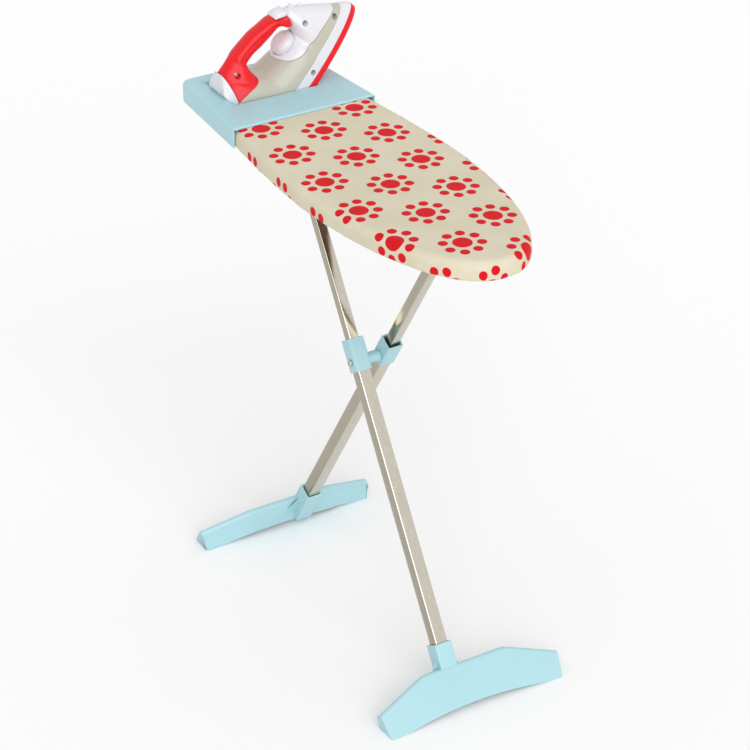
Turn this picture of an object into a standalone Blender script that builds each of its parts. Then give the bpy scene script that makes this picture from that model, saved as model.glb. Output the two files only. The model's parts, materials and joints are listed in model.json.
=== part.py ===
"""Toy ironing board with its toy iron, modelled piece by piece.

Metres, +Z up. The origin is on the floor under the middle of the board. +X runs to the
board's nose, and the iron's sole faces +Y. Two crossed legs carry the board: the front
leg hangs on a hinge under the tail, and the back leg ends in a runner under the nose.
"""
import math

import bmesh
import bpy
from mathutils import Matrix, Vector

# Clearances
GAP = 0.0003                # between pieces that sit on each other
RUNNING_GAP = 0.0005        # between pieces that slide or turn on each other
OVERRUN = 0.002             # how far a cutter reaches past what it cuts

# Number of sides and steps of round shapes
ROUND_SIDES = 24
SMALL_SIDES = 12
CORNER_STEPS = 2
NOSE_STEPS = 14
TAIL_STEPS = 5
RIDGE_STEPS = 4
NUT_SIDES = 6

# Padded board
BOARD_TOP = 0.600           # floor to the top of the cover
NOSE_X = 0.2875
WIDEST_X = 0.0265
BOARD_TAIL_X = -0.1795
BOARD_HALF_WIDTH = 0.103
NOSE_FULLNESS = 0.45
TAIL_CURVE = 1.5
COVER_THICKNESS = 0.0012
COVER_EDGE_RADIUS = 0.005
COVER_HEM_RADIUS = 0.0019
COVER_HEM_WIDTH = 0.012
FOAM_THICKNESS = 0.0097
DECK_THICKNESS = 0.009
DECK_EDGE = 0.001

# Iron rest, a moulded tray that caps the board's tail
TRAY_FRONT_X = -0.1335
TRAY_BACK_X = -0.2875
TRAY_FRONT_HALF_WIDTH = 0.0946
TRAY_BACK_HALF_WIDTH = 0.083
TRAY_WALL = 0.0025
TRAY_SIDE_GAP = 0.001       # between the tray's side walls and the cover
TRAY_DEPTH = 0.024
TRAY_EDGE_RADIUS = 0.004
TRAY_CORNER_RADIUS = 0.014
TRAY_SCREW_SPREAD = 0.066
SLOT_BACK_X = -0.2665
SLOT_FRONT_X = -0.190
SLOT_Y = -0.0046
SLOT_LENGTH = 0.1139
SLOT_CHAMFER = 0.002
SLOT_CORNER_RADIUS = 0.0025
SLOT_COLLAR_DEPTH = 0.018

# Crossed legs
PIVOT_X = 0.0165
PIVOT_HEIGHT = 0.3512
LEG_ANGLE = math.radians(32.0)
LEG_OFFSET = 0.0185         # from the middle plane to each leg's centre line
UPPER_TUBE_SIZE = 0.0125
UPPER_TUBE_WALL = 0.001
UPPER_TUBE_CORNER = 0.0018
UPPER_TUBE_TAIL = 0.025     # how far the upper tube reaches below the pivot
LOWER_TUBE_SIZE = 0.016
LOWER_TUBE_WALL = 0.0012
LOWER_TUBE_CORNER = 0.0022
LOWER_TUBE_HEAD = 0.012     # how far the lower tube reaches above the pivot
COLLAR_SIZE = 0.0202
COLLAR_CORNER = 0.002
COLLAR_ABOVE = 0.027
COLLAR_BELOW = 0.012
PIVOT_BOLT_RADIUS = 0.0025
PIVOT_HEAD_RADIUS = 0.004
PIVOT_HEAD_HEIGHT = 0.003
PIVOT_NUT_RADIUS = 0.0046
PIVOT_NUT_HEIGHT = 0.004
PIVOT_SPACER_RADIUS = 0.00675

# Eyes in the tops of the legs, the hinge and the runner
EYE_PLUG_LENGTH = 0.022
EYE_HEAD_LENGTH = 0.008
PIN_RADIUS = 0.0025
PIN_HEAD_RADIUS = 0.0042
PIN_HEAD_HEIGHT = 0.0018
BRACKET_WALL = 0.0015
BRACKET_LENGTH = 0.024
BRACKET_FLANGE = 0.0148
BRACKET_EAR_LENGTH = 0.016
BRACKET_EAR_BELOW = 0.0065
RAIL_WALL = 0.0012
RAIL_LIP = 0.0067
RAIL_NOSE_MARGIN = 0.047    # from the rail's open end to the board's nose
RAIL_LUG = 0.010
RAIL_LUG_LENGTH = 0.012
SHOE_RADIUS = 0.006
SHOE_WIDTH = 0.0075

# Feet
FOOT_HALF_LENGTH = 0.1158   # along the floor, without the rounded end
FOOT_END_SLANT = 0.0042     # how much further the ends reach at their top
FOOT_OUTER_X = 0.0209
FOOT_INNER_X = -0.0099
FOOT_OUTER_SLOPE = 0.78
FOOT_INNER_SLOPE = 0.22
FOOT_HEIGHT = 0.044
FOOT_END_HEIGHT = 0.024
FOOT_RIDGE_RADIUS = 0.0035
FOOT_RIDGE_HALF_LENGTH = 0.052
FOOT_END_ROUND = 0.002
FOOT_WALL = 0.0024
FOOT_ARCH_HEIGHT = 0.007
FOOT_ARCH_STEPS = 5
FOOT_PAD_LENGTH = 0.018     # the part of each end that stands on the floor
SOCKET_SIZE = 0.0222
SOCKET_CORNER = 0.0016
SOCKET_CLEARANCE = 0.0005
SOCKET_DEPTH = 0.035
SOCKET_FLOOR = 0.005
SOCKET_RISE = 0.0741        # from the floor to the rim, along the leg
GUSSET_THICKNESS = 0.0025
GUSSET_REACH = 0.012
GUSSET_DROP = 0.014
GUSSET_HEIGHT = 0.026
PLUG_LENGTH = 0.014

# Screws
SCREW_RADIUS = 0.0016
SCREW_HEAD_RADIUS = 0.0034
SCREW_HEAD_HEIGHT = 0.002
DECK_SCREW_BITE = 0.0065    # how deep a screw goes into the deck
FOOT_SCREW_BITE = 0.011
TRAY_SCREW_BITE = 0.012
IRON_SCREW_RADIUS = 0.0011
IRON_SCREW_HEAD_RADIUS = 0.0032
IRON_SCREW_HEAD_HEIGHT = 0.0016
RECESS_SHARE = 0.6          # of the head: reach and depth of the cross recess
RECESS_WIDTH_SHARE = 0.16

# Toy iron, in its own frame: x across, y from the heel to the nose, z from the sole up
IRON_LEAN = math.radians(45.0)
IRON_LENGTH = 0.180
IRON_HALF_WIDTH = 0.037
IRON_HEIGHT = 0.101
IRON_WALL = 0.002
SOLE_THICKNESS = 0.008
SOLE_EDGE = 0.001
SKIRT_TOP = 0.0215
HEEL_THICKNESS = 0.004
NOSE_TAPER_SHARE = 0.3
NOSE_TAPER_CURVE = 1.5
NOSE_TAPER_POWER = 0.55
NOSE_TAPER_STEPS = 8
DOME_STEPS = 6
# How square the dome's cross-section is, from 0.5 for a box to 2 for a wedge, along its length
DOME_SQUARENESS = [(0.0, 0.667), (0.56, 0.667), (0.64, 1.45), (0.70, 1.35), (0.80, 0.9), (1.0, 0.7)]
HEEL_ARCH_POWER = 3.0
HEEL_ARCH_SHARE = 0.98
INNER_FRONT_SHARE = 0.91
NECK_FLOOR_SHARE = 0.68     # of the height: the hood is solid above this, under the buttons
# Side view of the iron: shares of its length and of its height
CREST_SHARES = [(0.0, 0.90), (0.10, 0.915), (0.17, 0.83), (0.23, 0.69), (0.27, 0.59), (0.31, 0.55),
                (0.40, 0.515), (0.44, 0.505), (0.52, 0.505), (0.60, 0.52), (0.63, 0.63), (0.672, 0.79),
                (0.705, 0.78), (0.737, 0.712), (0.789, 0.60), (0.85, 0.447), (0.885, 0.36),
                (0.925, 0.25), (0.945, 0.212), (0.975, 0.16), (0.994, 0.11)]
BODY_TOP_SHARES = [(-0.05, 0.685), (0.03, 0.685), (0.11, 0.668), (0.222, 0.62), (0.245, 0.675), (0.36, 0.69)]
# Border between body and hood: share of the length, and of the height above the skirt
BORDER_SHARES = [(0.37, 0.49), (0.404, 0.37), (0.448, 0.275), (0.485, 0.23), (0.54, 0.19), (0.62, 0.174),
                 (0.73, 0.165), (0.842, 0.141), (0.93, 0.055), (1.05, 0.02)]
HEEL_SHARES = [(0.030, 0.685), (0.103, 0.966), (0.095, 0.975), (0.0, 0.85)]
HEEL_CUT_SHARES = [(0.030, 0.685), (0.103, 0.966), (0.135, 1.08), (-0.1, 1.08)]
# Handle: share of the length, bottom and top of the height, bottom and top of the half width
HANDLE_SHARES = [(0.02, 0.64, 0.90, 0.72, 0.36), (0.11, 0.62, 0.968, 0.72, 0.34),
                 (0.172, 0.60, 0.976, 0.68, 0.33), (0.216, 0.62, 0.984, 0.60, 0.33),
                 (0.236, 0.72, 0.986, 0.45, 0.33), (0.262, 0.79, 0.986, 0.36, 0.33),
                 (0.32, 0.792, 0.982, 0.33, 0.33), (0.42, 0.762, 0.969, 0.33, 0.33),
                 (0.506, 0.748, 0.926, 0.33, 0.33), (0.567, 0.744, 0.895, 0.34, 0.33),
                 (0.595, 0.70, 0.875, 0.37, 0.33), (0.606, 0.645, 0.86, 0.39, 0.33),
                 (0.631, 0.608, 0.825, 0.39, 0.33), (0.65, 0.655, 0.798, 0.38, 0.32),
                 (0.66, 0.73, 0.785, 0.36, 0.32)]
HANDLE_INNER_SHARES = (0.14, 0.60)
HANDLE_FOOT_SHARE = 0.25    # how far the handle's foot follows the dome
HANDLE_SIDES = 16
HANDLE_SQUARENESS = 0.75
BUTTON_SHARES = [(0.596, 0.868), (0.655, 0.782), (0.688, 0.782), (0.690, 0.803), (0.657, 0.869),
                 (0.625, 0.899), (0.606, 0.893), (0.596, 0.882)]
BUTTON_HALF_WIDTH = 0.0105
BUTTON_SIDE_SHARE = 0.45    # of the cap's height: what is left of it at its sides
BUTTON_STEPS = 4
BUTTON_TRAVEL = 0.0015
BUTTON_STEM_SHARE = 0.672
BUTTON_STEM_RADIUS = 0.0015
BUTTON_STEM_LENGTH = 0.007
SPRAY_SHARE = 0.728
SPRAY_RADIUS = 0.0034
SPRAY_ABOVE = 0.0026
SPRAY_BELOW = 0.007
NOZZLE_SHARE = 0.77
NOZZLE_RADIUS = 0.0024
NOZZLE_TIP_RADIUS = 0.0015
NOZZLE_ABOVE = 0.0022
NOZZLE_BELOW = 0.0032
DIAL_SHARE = 0.514
DIAL_RADIUS = 0.016
DIAL_RIM = 0.0035
DIAL_HEIGHT = 0.012
DIAL_STEPS = 5
DIAL_SHELF = 0.0008         # thickness of the hood's rear end under the dial's well
DIAL_SPINDLE_RADIUS = 0.003
DIAL_SPINDLE_LENGTH = 0.006
HANDLE_SCREW_SHARES = (0.161, 0.851)
HOOD_SCREW_SHARES = (0.699, 0.551)
BODY_SCREW_BAND = 0.0102    # height of the grey body above the skirt where its screw sits
SKIRT_SCREW_SHARE = 0.481
SCREW_SEAT_SHARE = 0.62     # of the half width: where an iron screw's head sits
SCREW_END_SHARE = 0.45      # of the half width: where its tip ends, on the other side
BOSS_WALL = 0.0013

# Heights and places that follow from the sizes above
COVER_BOTTOM = BOARD_TOP - 2 * COVER_THICKNESS - FOAM_THICKNESS - DECK_THICKNESS - 3 * GAP
DECK_BOTTOM = COVER_BOTTOM + COVER_THICKNESS + GAP
DECK_TOP = DECK_BOTTOM + DECK_THICKNESS
FOAM_TOP = DECK_TOP + GAP + FOAM_THICKNESS
COVER_INSET = COVER_THICKNESS + GAP
TRAY_TOP = BOARD_TOP + GAP + TRAY_WALL
TRAY_BOTTOM = TRAY_TOP - TRAY_DEPTH
CROSS_WALL_X = BOARD_TAIL_X + COVER_THICKNESS
SLOT_X = (SLOT_BACK_X + SLOT_FRONT_X) / 2
DECK_MIDDLE = (DECK_BOTTOM + DECK_TOP) / 2
RAIL_TOP = DECK_BOTTOM - GAP
PIN_HEIGHT = RAIL_TOP - RAIL_WALL - RUNNING_GAP - SHOE_RADIUS
UPPER_REACH = (PIN_HEIGHT - PIVOT_HEIGHT) / math.cos(LEG_ANGLE)
LOWER_REACH = PIVOT_HEIGHT / math.cos(LEG_ANGLE)
HINGE_X = PIVOT_X - UPPER_REACH * math.sin(LEG_ANGLE)
RUNNER_X = PIVOT_X + UPPER_REACH * math.sin(LEG_ANGLE)
EYE_HALF_WIDTH = UPPER_TUBE_SIZE / 2 - GAP
RAIL_GAP_HALF = EYE_HALF_WIDTH + 4 * RUNNING_GAP
RAIL_INNER_HALF = RAIL_GAP_HALF + RAIL_LIP
RAIL_OUTER_HALF = RAIL_INNER_HALF + RAIL_WALL
RAIL_BOTTOM = PIN_HEIGHT - SHOE_RADIUS - RUNNING_GAP - RAIL_WALL
RAIL_START_X = RUNNER_X - SHOE_RADIUS - RUNNING_GAP - RAIL_WALL
RAIL_END_X = NOSE_X - RAIL_NOSE_MARGIN
SOCKET_FLOOR_RISE = SOCKET_RISE - SOCKET_DEPTH
IRON_REAR = HEEL_THICKNESS + GAP
IRON_BASE = SOLE_THICKNESS + GAP
BRACKET_INNER_HALF = EYE_HALF_WIDTH + RUNNING_GAP
BRACKET_SCREW_OFFSET = BRACKET_INNER_HALF + BRACKET_WALL + BRACKET_FLANGE / 2
RAIL_SCREW_OFFSET = RAIL_OUTER_HALF + RAIL_LUG / 2
RAIL_SCREW_X = (RAIL_START_X + RAIL_END_X) / 2


# General helpers

def clear_scene():
    for item in list(bpy.data.objects):
        bpy.data.objects.remove(item, do_unlink=True)


def make_material(name, colour, roughness, metallic=0.0):
    made = bpy.data.materials.new(name)
    made.use_nodes = True
    shader = made.node_tree.nodes["Principled BSDF"]
    shader.inputs["Base Color"].default_value = (*colour, 1.0)
    shader.inputs["Roughness"].default_value = roughness
    shader.inputs["Metallic"].default_value = metallic
    made.diffuse_color = (*colour, 1.0)
    return made


def new_piece(name, vertices, faces):
    mesh = bpy.data.meshes.new(name)
    mesh.from_pydata(vertices, [], faces)
    work = bmesh.new()
    work.from_mesh(mesh)
    bmesh.ops.recalc_face_normals(work, faces=work.faces)
    work.to_mesh(mesh)
    work.free()
    piece = bpy.data.objects.new(name, mesh)
    bpy.context.scene.collection.objects.link(piece)
    return piece


def copy_piece(source, name):
    """A second object on the same mesh."""
    piece = bpy.data.objects.new(name, source.data)
    bpy.context.scene.collection.objects.link(piece)
    return piece


def lofted(name, rings, closed=False):
    """Skin a row of rings with equal counts; the ends are capped, or joined if closed."""
    count = len(rings[0])
    vertices = [tuple(point) for ring in rings for point in ring]
    faces = []
    for low in range(len(rings) if closed else len(rings) - 1):
        high = (low + 1) % len(rings)
        for step in range(count):
            after = (step + 1) % count
            faces.append((low * count + step, low * count + after, high * count + after, high * count + step))
    if not closed:
        faces.append(tuple(range(count)))
        faces.append(tuple(range((len(rings) - 1) * count, len(rings) * count)))
    return new_piece(name, vertices, faces)


def in_plane(point, height, axis):
    """A flat point (a, b) lifted to height along the axis."""
    a, b = point
    if axis == "X":
        return (height, a, b)
    if axis == "Y":
        return (a, height, b)
    return (a, b, height)


def prism(name, outline, low, high, axis="Z"):
    rings = [[in_plane(point, height, axis) for point in outline] for height in (low, high)]
    return lofted(name, rings)


def box(name, low, high):
    outline = [(low[0], low[1]), (high[0], low[1]), (high[0], high[1]), (low[0], high[1])]
    return prism(name, outline, low[2], high[2])


def circle(radius, sides, centre=(0, 0)):
    turns = [2 * math.pi * step / sides for step in range(sides)]
    return [(centre[0] + radius * math.cos(turn), centre[1] + radius * math.sin(turn)) for turn in turns]


def rod(name, radius, low, high, axis="Z", centre=(0, 0), sides=ROUND_SIDES):
    return prism(name, circle(radius, sides, centre), low, high, axis)


def turned(name, profile, sides=ROUND_SIDES, closed=False):
    """Solid of revolution about Z from (radius, height) pairs."""
    rings = [[(x, y, height) for x, y in circle(radius, sides)] for radius, height in profile]
    return lofted(name, rings, closed)


def rounded(corners, radii, steps=CORNER_STEPS):
    """Round the corners of a counter-clockwise outline; a radius of 0 keeps a corner sharp."""
    points = []
    for index, radius in enumerate(radii):
        here = Vector(corners[index])
        first = (here - Vector(corners[index - 1])).normalized()
        second = (Vector(corners[(index + 1) % len(corners)]) - here).normalized()
        if radius == 0:
            points.append(here)
            continue
        turn = math.atan2(first.x * second.y - first.y * second.x, first.dot(second))
        inward = Vector((-first.y, first.x))
        centre = here - first * radius * math.tan(turn / 2) + inward * radius
        for step in range(steps + 1):
            points.append(centre - Matrix.Rotation(turn * step / steps, 2) @ inward * radius)
    return points


def rounded_square(size, radius):
    half = size / 2
    return rounded([(-half, -half), (half, -half), (half, half), (-half, half)], [radius] * 4)


def inset(outline, distance):
    """Move a counter-clockwise outline inwards."""
    moved = []
    for index, point in enumerate(outline):
        here = Vector(point)
        first = (here - Vector(outline[index - 1])).normalized()
        second = (Vector(outline[(index + 1) % len(outline)]) - here).normalized()
        inward_first = Vector((-first.y, first.x))
        inward_second = Vector((-second.y, second.x))
        bisector = (inward_first + inward_second).normalized()
        moved.append(here + bisector * distance / bisector.dot(inward_first))
    return moved


def stacked(name, outline, levels, closed=False):
    """Loft an outline through (inset, height) levels."""
    rings = [[(x, y, height) for x, y in inset(outline, distance)] for distance, height in levels]
    return lofted(name, rings, closed)


def quarter_round(radius, top, distance=0.0, steps=3):
    """(inset, height) levels of a rounded top edge, from its side to its top."""
    turns = [math.pi / 2 * step / steps for step in range(steps + 1)]
    return [(distance + radius * (1 - math.cos(turn)), top - radius * (1 - math.sin(turn))) for turn in turns]


def triangulated(piece):
    """Split a piece's twisted faces, so that a Boolean finds flat ones."""
    work = bmesh.new()
    work.from_mesh(piece.data)
    bmesh.ops.triangulate(work, faces=work.faces)
    work.to_mesh(piece.data)
    work.free()
    return piece


def combine(piece, tool, operation):
    """Apply a Boolean and throw the tool away."""
    modifier = piece.modifiers.new("combine", "BOOLEAN")
    modifier.operation = operation
    modifier.solver = "EXACT"
    modifier.object = tool
    graph = bpy.context.evaluated_depsgraph_get()
    result = bpy.data.meshes.new_from_object(piece.evaluated_get(graph))
    piece.modifiers.clear()
    piece.data = result
    bpy.data.objects.remove(tool, do_unlink=True)
    return piece


def cut(piece, *tools):
    for tool in tools:
        combine(piece, tool, "DIFFERENCE")
    return piece


def join(piece, *tools):
    for tool in tools:
        combine(piece, tool, "UNION")
    return piece


def keep(piece, tool):
    return combine(piece, tool, "INTERSECT")


def own_copy(source, name):
    """A copy with a mesh of its own, to be cut or to cut with."""
    piece = bpy.data.objects.new(name, source.data.copy())
    bpy.context.scene.collection.objects.link(piece)
    return piece


def discard(*pieces):
    for piece in pieces:
        bpy.data.objects.remove(piece, do_unlink=True)


def dress(piece, finish, parent=None, matrix=None, crease=math.radians(35)):
    """Name the mesh, give it its material and shading, and hang it on its parent."""
    piece.data.name = piece.name
    piece.data.materials.clear()
    piece.data.materials.append(finish)
    piece.data.shade_smooth()
    piece.data.set_sharp_from_angle(angle=crease)
    if parent is not None:
        piece.parent = parent
    if matrix is not None:
        piece.matrix_basis = matrix
    return piece


def axis_empty(name, matrix, parent=None):
    """An empty that carries pieces on a joint's axis."""
    empty = bpy.data.objects.new(name, None)
    bpy.context.scene.collection.objects.link(empty)
    empty.parent = parent
    empty.matrix_basis = matrix
    return empty


def screw(name, radius, head_radius, head_height, length, finish, matrix, parent=None):
    """A cross-head screw along +Z, with the underside of its head at the matrix's origin."""
    profile = [(head_radius * (1 - RECESS_SHARE / 2), -head_height), (head_radius, -head_height * RECESS_SHARE),
               (head_radius, 0), (radius, 0), (radius, length - 2 * radius), (radius / 4, length)]
    piece = turned(name, profile, SMALL_SIDES)
    reach = head_radius * RECESS_SHARE
    half = head_radius * RECESS_WIDTH_SHARE
    bottom = -head_height * (1 - RECESS_SHARE / 2)
    for across in ((reach, half), (half, reach)):
        low = (-across[0], -across[1], -head_height - OVERRUN)
        cut(piece, box("recess", low, (across[0], across[1], bottom)))
    return dress(piece, finish, parent, matrix)


def deck_screw(name, x, y, plate, finish):
    """A screw that goes up through a plate of the given thickness into the deck."""
    place = Matrix.Translation((x, y, RAIL_TOP - plate - GAP))
    length = plate + 2 * GAP + DECK_SCREW_BITE
    return screw(name, SCREW_RADIUS, SCREW_HEAD_RADIUS, SCREW_HEAD_HEIGHT, length, finish, place)


def screw_hole(x, y, low, high):
    return rod("hole", SCREW_RADIUS + GAP, low, high, "Z", (x, y), SMALL_SIDES)


# Padded board

def tray_half_width(x):
    share = (x - TRAY_BACK_X) / (TRAY_FRONT_X - TRAY_BACK_X)
    return TRAY_BACK_HALF_WIDTH + (TRAY_FRONT_HALF_WIDTH - TRAY_BACK_HALF_WIDTH) * share


def board_half_width(x):
    tail_half = tray_half_width(min(x, TRAY_FRONT_X)) - TRAY_WALL - TRAY_SIDE_GAP
    if x <= TRAY_FRONT_X:
        return tail_half
    if x <= WIDEST_X:
        share = (WIDEST_X - x) / (WIDEST_X - TRAY_FRONT_X)
        return BOARD_HALF_WIDTH - (BOARD_HALF_WIDTH - tail_half) * share ** TAIL_CURVE
    share = min((x - WIDEST_X) / (NOSE_X - WIDEST_X), 1)
    return BOARD_HALF_WIDTH * (1 - share ** 2) ** NOSE_FULLNESS


def board_outline():
    """Counter-clockwise, from the tail along -Y to the nose and back along +Y."""
    places = [BOARD_TAIL_X]
    for step in range(TAIL_STEPS):
        places.append(TRAY_FRONT_X + (WIDEST_X - TRAY_FRONT_X) * step / TAIL_STEPS)
    for step in range(NOSE_STEPS):
        places.append(WIDEST_X + (NOSE_X - WIDEST_X) * math.sin(math.pi / 2 * step / NOSE_STEPS))
    lower = [(x, -board_half_width(x)) for x in places]
    upper = [(x, board_half_width(x)) for x in reversed(places)]
    return lower + [(NOSE_X, 0)] + upper


def deck_screw_places():
    """(x, y) of every screw that enters the deck from below."""
    bracket = [(HINGE_X, -LEG_OFFSET + side * BRACKET_SCREW_OFFSET) for side in (-1, 1)]
    rail = [(RAIL_SCREW_X, LEG_OFFSET + side * RAIL_SCREW_OFFSET) for side in (-1, 1)]
    return bracket + rail


def build_board(finishes):
    outline = board_outline()
    deck_levels = [(COVER_INSET + DECK_EDGE, DECK_BOTTOM), (COVER_INSET, DECK_BOTTOM + DECK_EDGE),
                   (COVER_INSET, DECK_TOP)]
    deck = stacked("deck_board", outline, deck_levels)
    for x, y in deck_screw_places():
        cut(deck, screw_hole(x, y, DECK_BOTTOM - OVERRUN, DECK_BOTTOM + DECK_SCREW_BITE + GAP))
    for side in (-1, 1):
        hole = rod("hole", SCREW_RADIUS + GAP, BOARD_TAIL_X - OVERRUN, CROSS_WALL_X + TRAY_SCREW_BITE + GAP, "X",
                   (side * TRAY_SCREW_SPREAD, DECK_MIDDLE), SMALL_SIDES)
        cut(deck, hole)
    dress(deck, finishes["hardboard"])

    foam_edge = COVER_EDGE_RADIUS - COVER_INSET
    foam_levels = [(COVER_INSET, DECK_TOP + GAP)] + quarter_round(foam_edge, FOAM_TOP, COVER_INSET)
    dress(stacked("foam_pad", outline, foam_levels), finishes["foam"])

    inner = quarter_round(COVER_EDGE_RADIUS - COVER_THICKNESS, BOARD_TOP - COVER_THICKNESS, COVER_THICKNESS)
    outer = quarter_round(COVER_EDGE_RADIUS, BOARD_TOP)
    hem_top = COVER_BOTTOM + COVER_THICKNESS
    hem_inner_radius = COVER_HEM_RADIUS - COVER_THICKNESS
    levels = list(reversed(inner))
    levels += [(COVER_THICKNESS, hem_top + hem_inner_radius), (COVER_HEM_RADIUS, hem_top)]
    levels += [(COVER_HEM_WIDTH, hem_top), (COVER_HEM_WIDTH, COVER_BOTTOM)]
    levels += [(COVER_HEM_RADIUS, COVER_BOTTOM), (0, COVER_BOTTOM + COVER_HEM_RADIUS)] + outer
    cover = stacked("fabric_cover", outline, levels)
    tail_end = BOARD_TAIL_X + COVER_HEM_WIDTH + COVER_THICKNESS
    low = (TRAY_BACK_X, -BOARD_HALF_WIDTH, COVER_BOTTOM - OVERRUN)
    cut(cover, box("open_tail", low, (tail_end, BOARD_HALF_WIDTH, BOARD_TOP + OVERRUN)))
    dress(cover, finishes["fabric"])


# Iron rest

def slot_corner():
    """(y, z) where the planes of the iron's sole and heel meet, below the slot."""
    side = SLOT_LENGTH * math.cos(IRON_LEAN)
    return (SLOT_Y + SLOT_LENGTH / 2 - side * math.cos(IRON_LEAN), TRAY_TOP - side * math.sin(IRON_LEAN))


def build_tray(finishes):
    corners = [(TRAY_BACK_X, -TRAY_BACK_HALF_WIDTH), (TRAY_FRONT_X, -TRAY_FRONT_HALF_WIDTH),
               (TRAY_FRONT_X, TRAY_FRONT_HALF_WIDTH), (TRAY_BACK_X, TRAY_BACK_HALF_WIDTH)]
    outline = rounded(corners, [TRAY_CORNER_RADIUS, 0, 0, TRAY_CORNER_RADIUS], 2 * CORNER_STEPS)
    tray = stacked("iron_rest_tray", outline, [(0, TRAY_BOTTOM)] + quarter_round(TRAY_EDGE_RADIUS, TRAY_TOP))

    ceiling = TRAY_TOP - TRAY_WALL
    pocket_ends = (CROSS_WALL_X, TRAY_FRONT_X + OVERRUN)
    halves = [tray_half_width(x) - TRAY_WALL for x in pocket_ends]
    pocket = [(pocket_ends[0], -halves[0]), (pocket_ends[1], -halves[1]), (pocket_ends[1], halves[1]),
              (pocket_ends[0], halves[0])]
    cut(tray, prism("pocket", pocket, TRAY_BOTTOM - OVERRUN, ceiling))

    rear_ends = (TRAY_BACK_X + TRAY_WALL, CROSS_WALL_X - TRAY_WALL)
    halves = [tray_half_width(x) - TRAY_WALL for x in rear_ends]
    rear = [(rear_ends[0], -halves[0]), (rear_ends[1], -halves[1]), (rear_ends[1], halves[1]),
            (rear_ends[0], halves[0])]
    inner_radius = TRAY_CORNER_RADIUS - TRAY_WALL
    rear = rounded(rear, [inner_radius, 0, 0, inner_radius], 2 * CORNER_STEPS)
    cut(tray, prism("rear_hollow", rear, TRAY_BOTTOM - OVERRUN, ceiling))

    half_slot = SLOT_LENGTH / 2 - SLOT_CHAMFER
    low_y, high_y = SLOT_Y - half_slot, SLOT_Y + half_slot
    collar_low = (SLOT_BACK_X - TRAY_WALL, low_y - TRAY_WALL, TRAY_TOP - SLOT_COLLAR_DEPTH)
    collar_high = (SLOT_FRONT_X + TRAY_WALL, high_y + TRAY_WALL, TRAY_TOP - TRAY_WALL / 2)
    join(tray, box("collar", collar_low, collar_high))
    slot = [(SLOT_BACK_X, low_y), (SLOT_FRONT_X, low_y), (SLOT_FRONT_X, high_y), (SLOT_BACK_X, high_y)]
    slot = rounded(slot, [SLOT_CORNER_RADIUS] * 4)
    cut(tray, prism("slot", slot, TRAY_BOTTOM - OVERRUN, TRAY_TOP + OVERRUN))
    y, z = slot_corner()
    along = (SLOT_LENGTH * math.cos(IRON_LEAN), SLOT_LENGTH * math.sin(IRON_LEAN))
    seat = [(y, z), (y + along[0], z + along[1]), (y - along[1], z + along[0])]
    cut(tray, prism("seat", seat, SLOT_BACK_X, SLOT_FRONT_X, "X"))

    for side in (-1, 1):
        centre = (side * TRAY_SCREW_SPREAD, DECK_MIDDLE)
        cut(tray, rod("hole", SCREW_RADIUS + GAP, CROSS_WALL_X - TRAY_WALL - OVERRUN, CROSS_WALL_X + OVERRUN, "X",
                      centre, SMALL_SIDES))
        place = Matrix.Translation((CROSS_WALL_X - TRAY_WALL - GAP, *centre)) @ Matrix.Rotation(math.pi / 2, 4, "Y")
        name = "tray_screw_right" if side < 0 else "tray_screw_left"
        screw(name, SCREW_RADIUS, SCREW_HEAD_RADIUS, SCREW_HEAD_HEIGHT, TRAY_WALL + GAP + TRAY_SCREW_BITE,
              finishes["screw_steel"], place)
    dress(tray, finishes["blue_plastic"])


# Fittings under the deck

def build_hinge(finishes):
    y = -LEG_OFFSET
    half_length = BRACKET_LENGTH / 2
    outer = BRACKET_INNER_HALF + BRACKET_WALL
    reach = outer + BRACKET_FLANGE
    base_bottom = RAIL_TOP - BRACKET_WALL
    bracket = box("hinge_bracket", (HINGE_X - half_length, y - reach, base_bottom),
                  (HINGE_X + half_length, y + reach, RAIL_TOP))
    ear_bottom = PIN_HEIGHT - BRACKET_EAR_BELOW
    half_ear = BRACKET_EAR_LENGTH / 2
    for side in (-1, 1):
        near, far = sorted((y + side * BRACKET_INNER_HALF, y + side * outer))
        ear = [(HINGE_X - half_ear, ear_bottom), (HINGE_X + half_ear, ear_bottom),
               (HINGE_X + half_ear, RAIL_TOP - BRACKET_WALL / 2), (HINGE_X - half_ear, RAIL_TOP - BRACKET_WALL / 2)]
        round_ear = BRACKET_EAR_BELOW - BRACKET_WALL
        join(bracket, prism("ear", rounded(ear, [round_ear, round_ear, 0, 0]), near, far, "Y"))
        screw_y = y + side * BRACKET_SCREW_OFFSET
        cut(bracket, screw_hole(HINGE_X, screw_y, base_bottom - OVERRUN, RAIL_TOP + OVERRUN))
        name = "hinge_bracket_screw_right" if side < 0 else "hinge_bracket_screw_left"
        deck_screw(name, HINGE_X, screw_y, BRACKET_WALL, finishes["screw_steel"])
    pin_hole = rod("pin_hole", PIN_RADIUS + GAP, y - reach, y + reach, "Y", (HINGE_X, PIN_HEIGHT), SMALL_SIDES)
    cut(bracket, pin_hole)
    dress(bracket, finishes["zinc"])

    half = outer + GAP
    profile = [(PIN_HEAD_RADIUS, -half - PIN_HEAD_HEIGHT), (PIN_HEAD_RADIUS, -half), (PIN_RADIUS, -half),
               (PIN_RADIUS, half), (PIN_HEAD_RADIUS, half), (PIN_HEAD_RADIUS, half + PIN_HEAD_HEIGHT)]
    rivet = turned("hinge_rivet", profile, SMALL_SIDES)
    dress(rivet, finishes["screw_steel"], None,
          Matrix.Translation((HINGE_X, y, PIN_HEIGHT)) @ Matrix.Rotation(math.pi / 2, 4, "X"))


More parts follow.
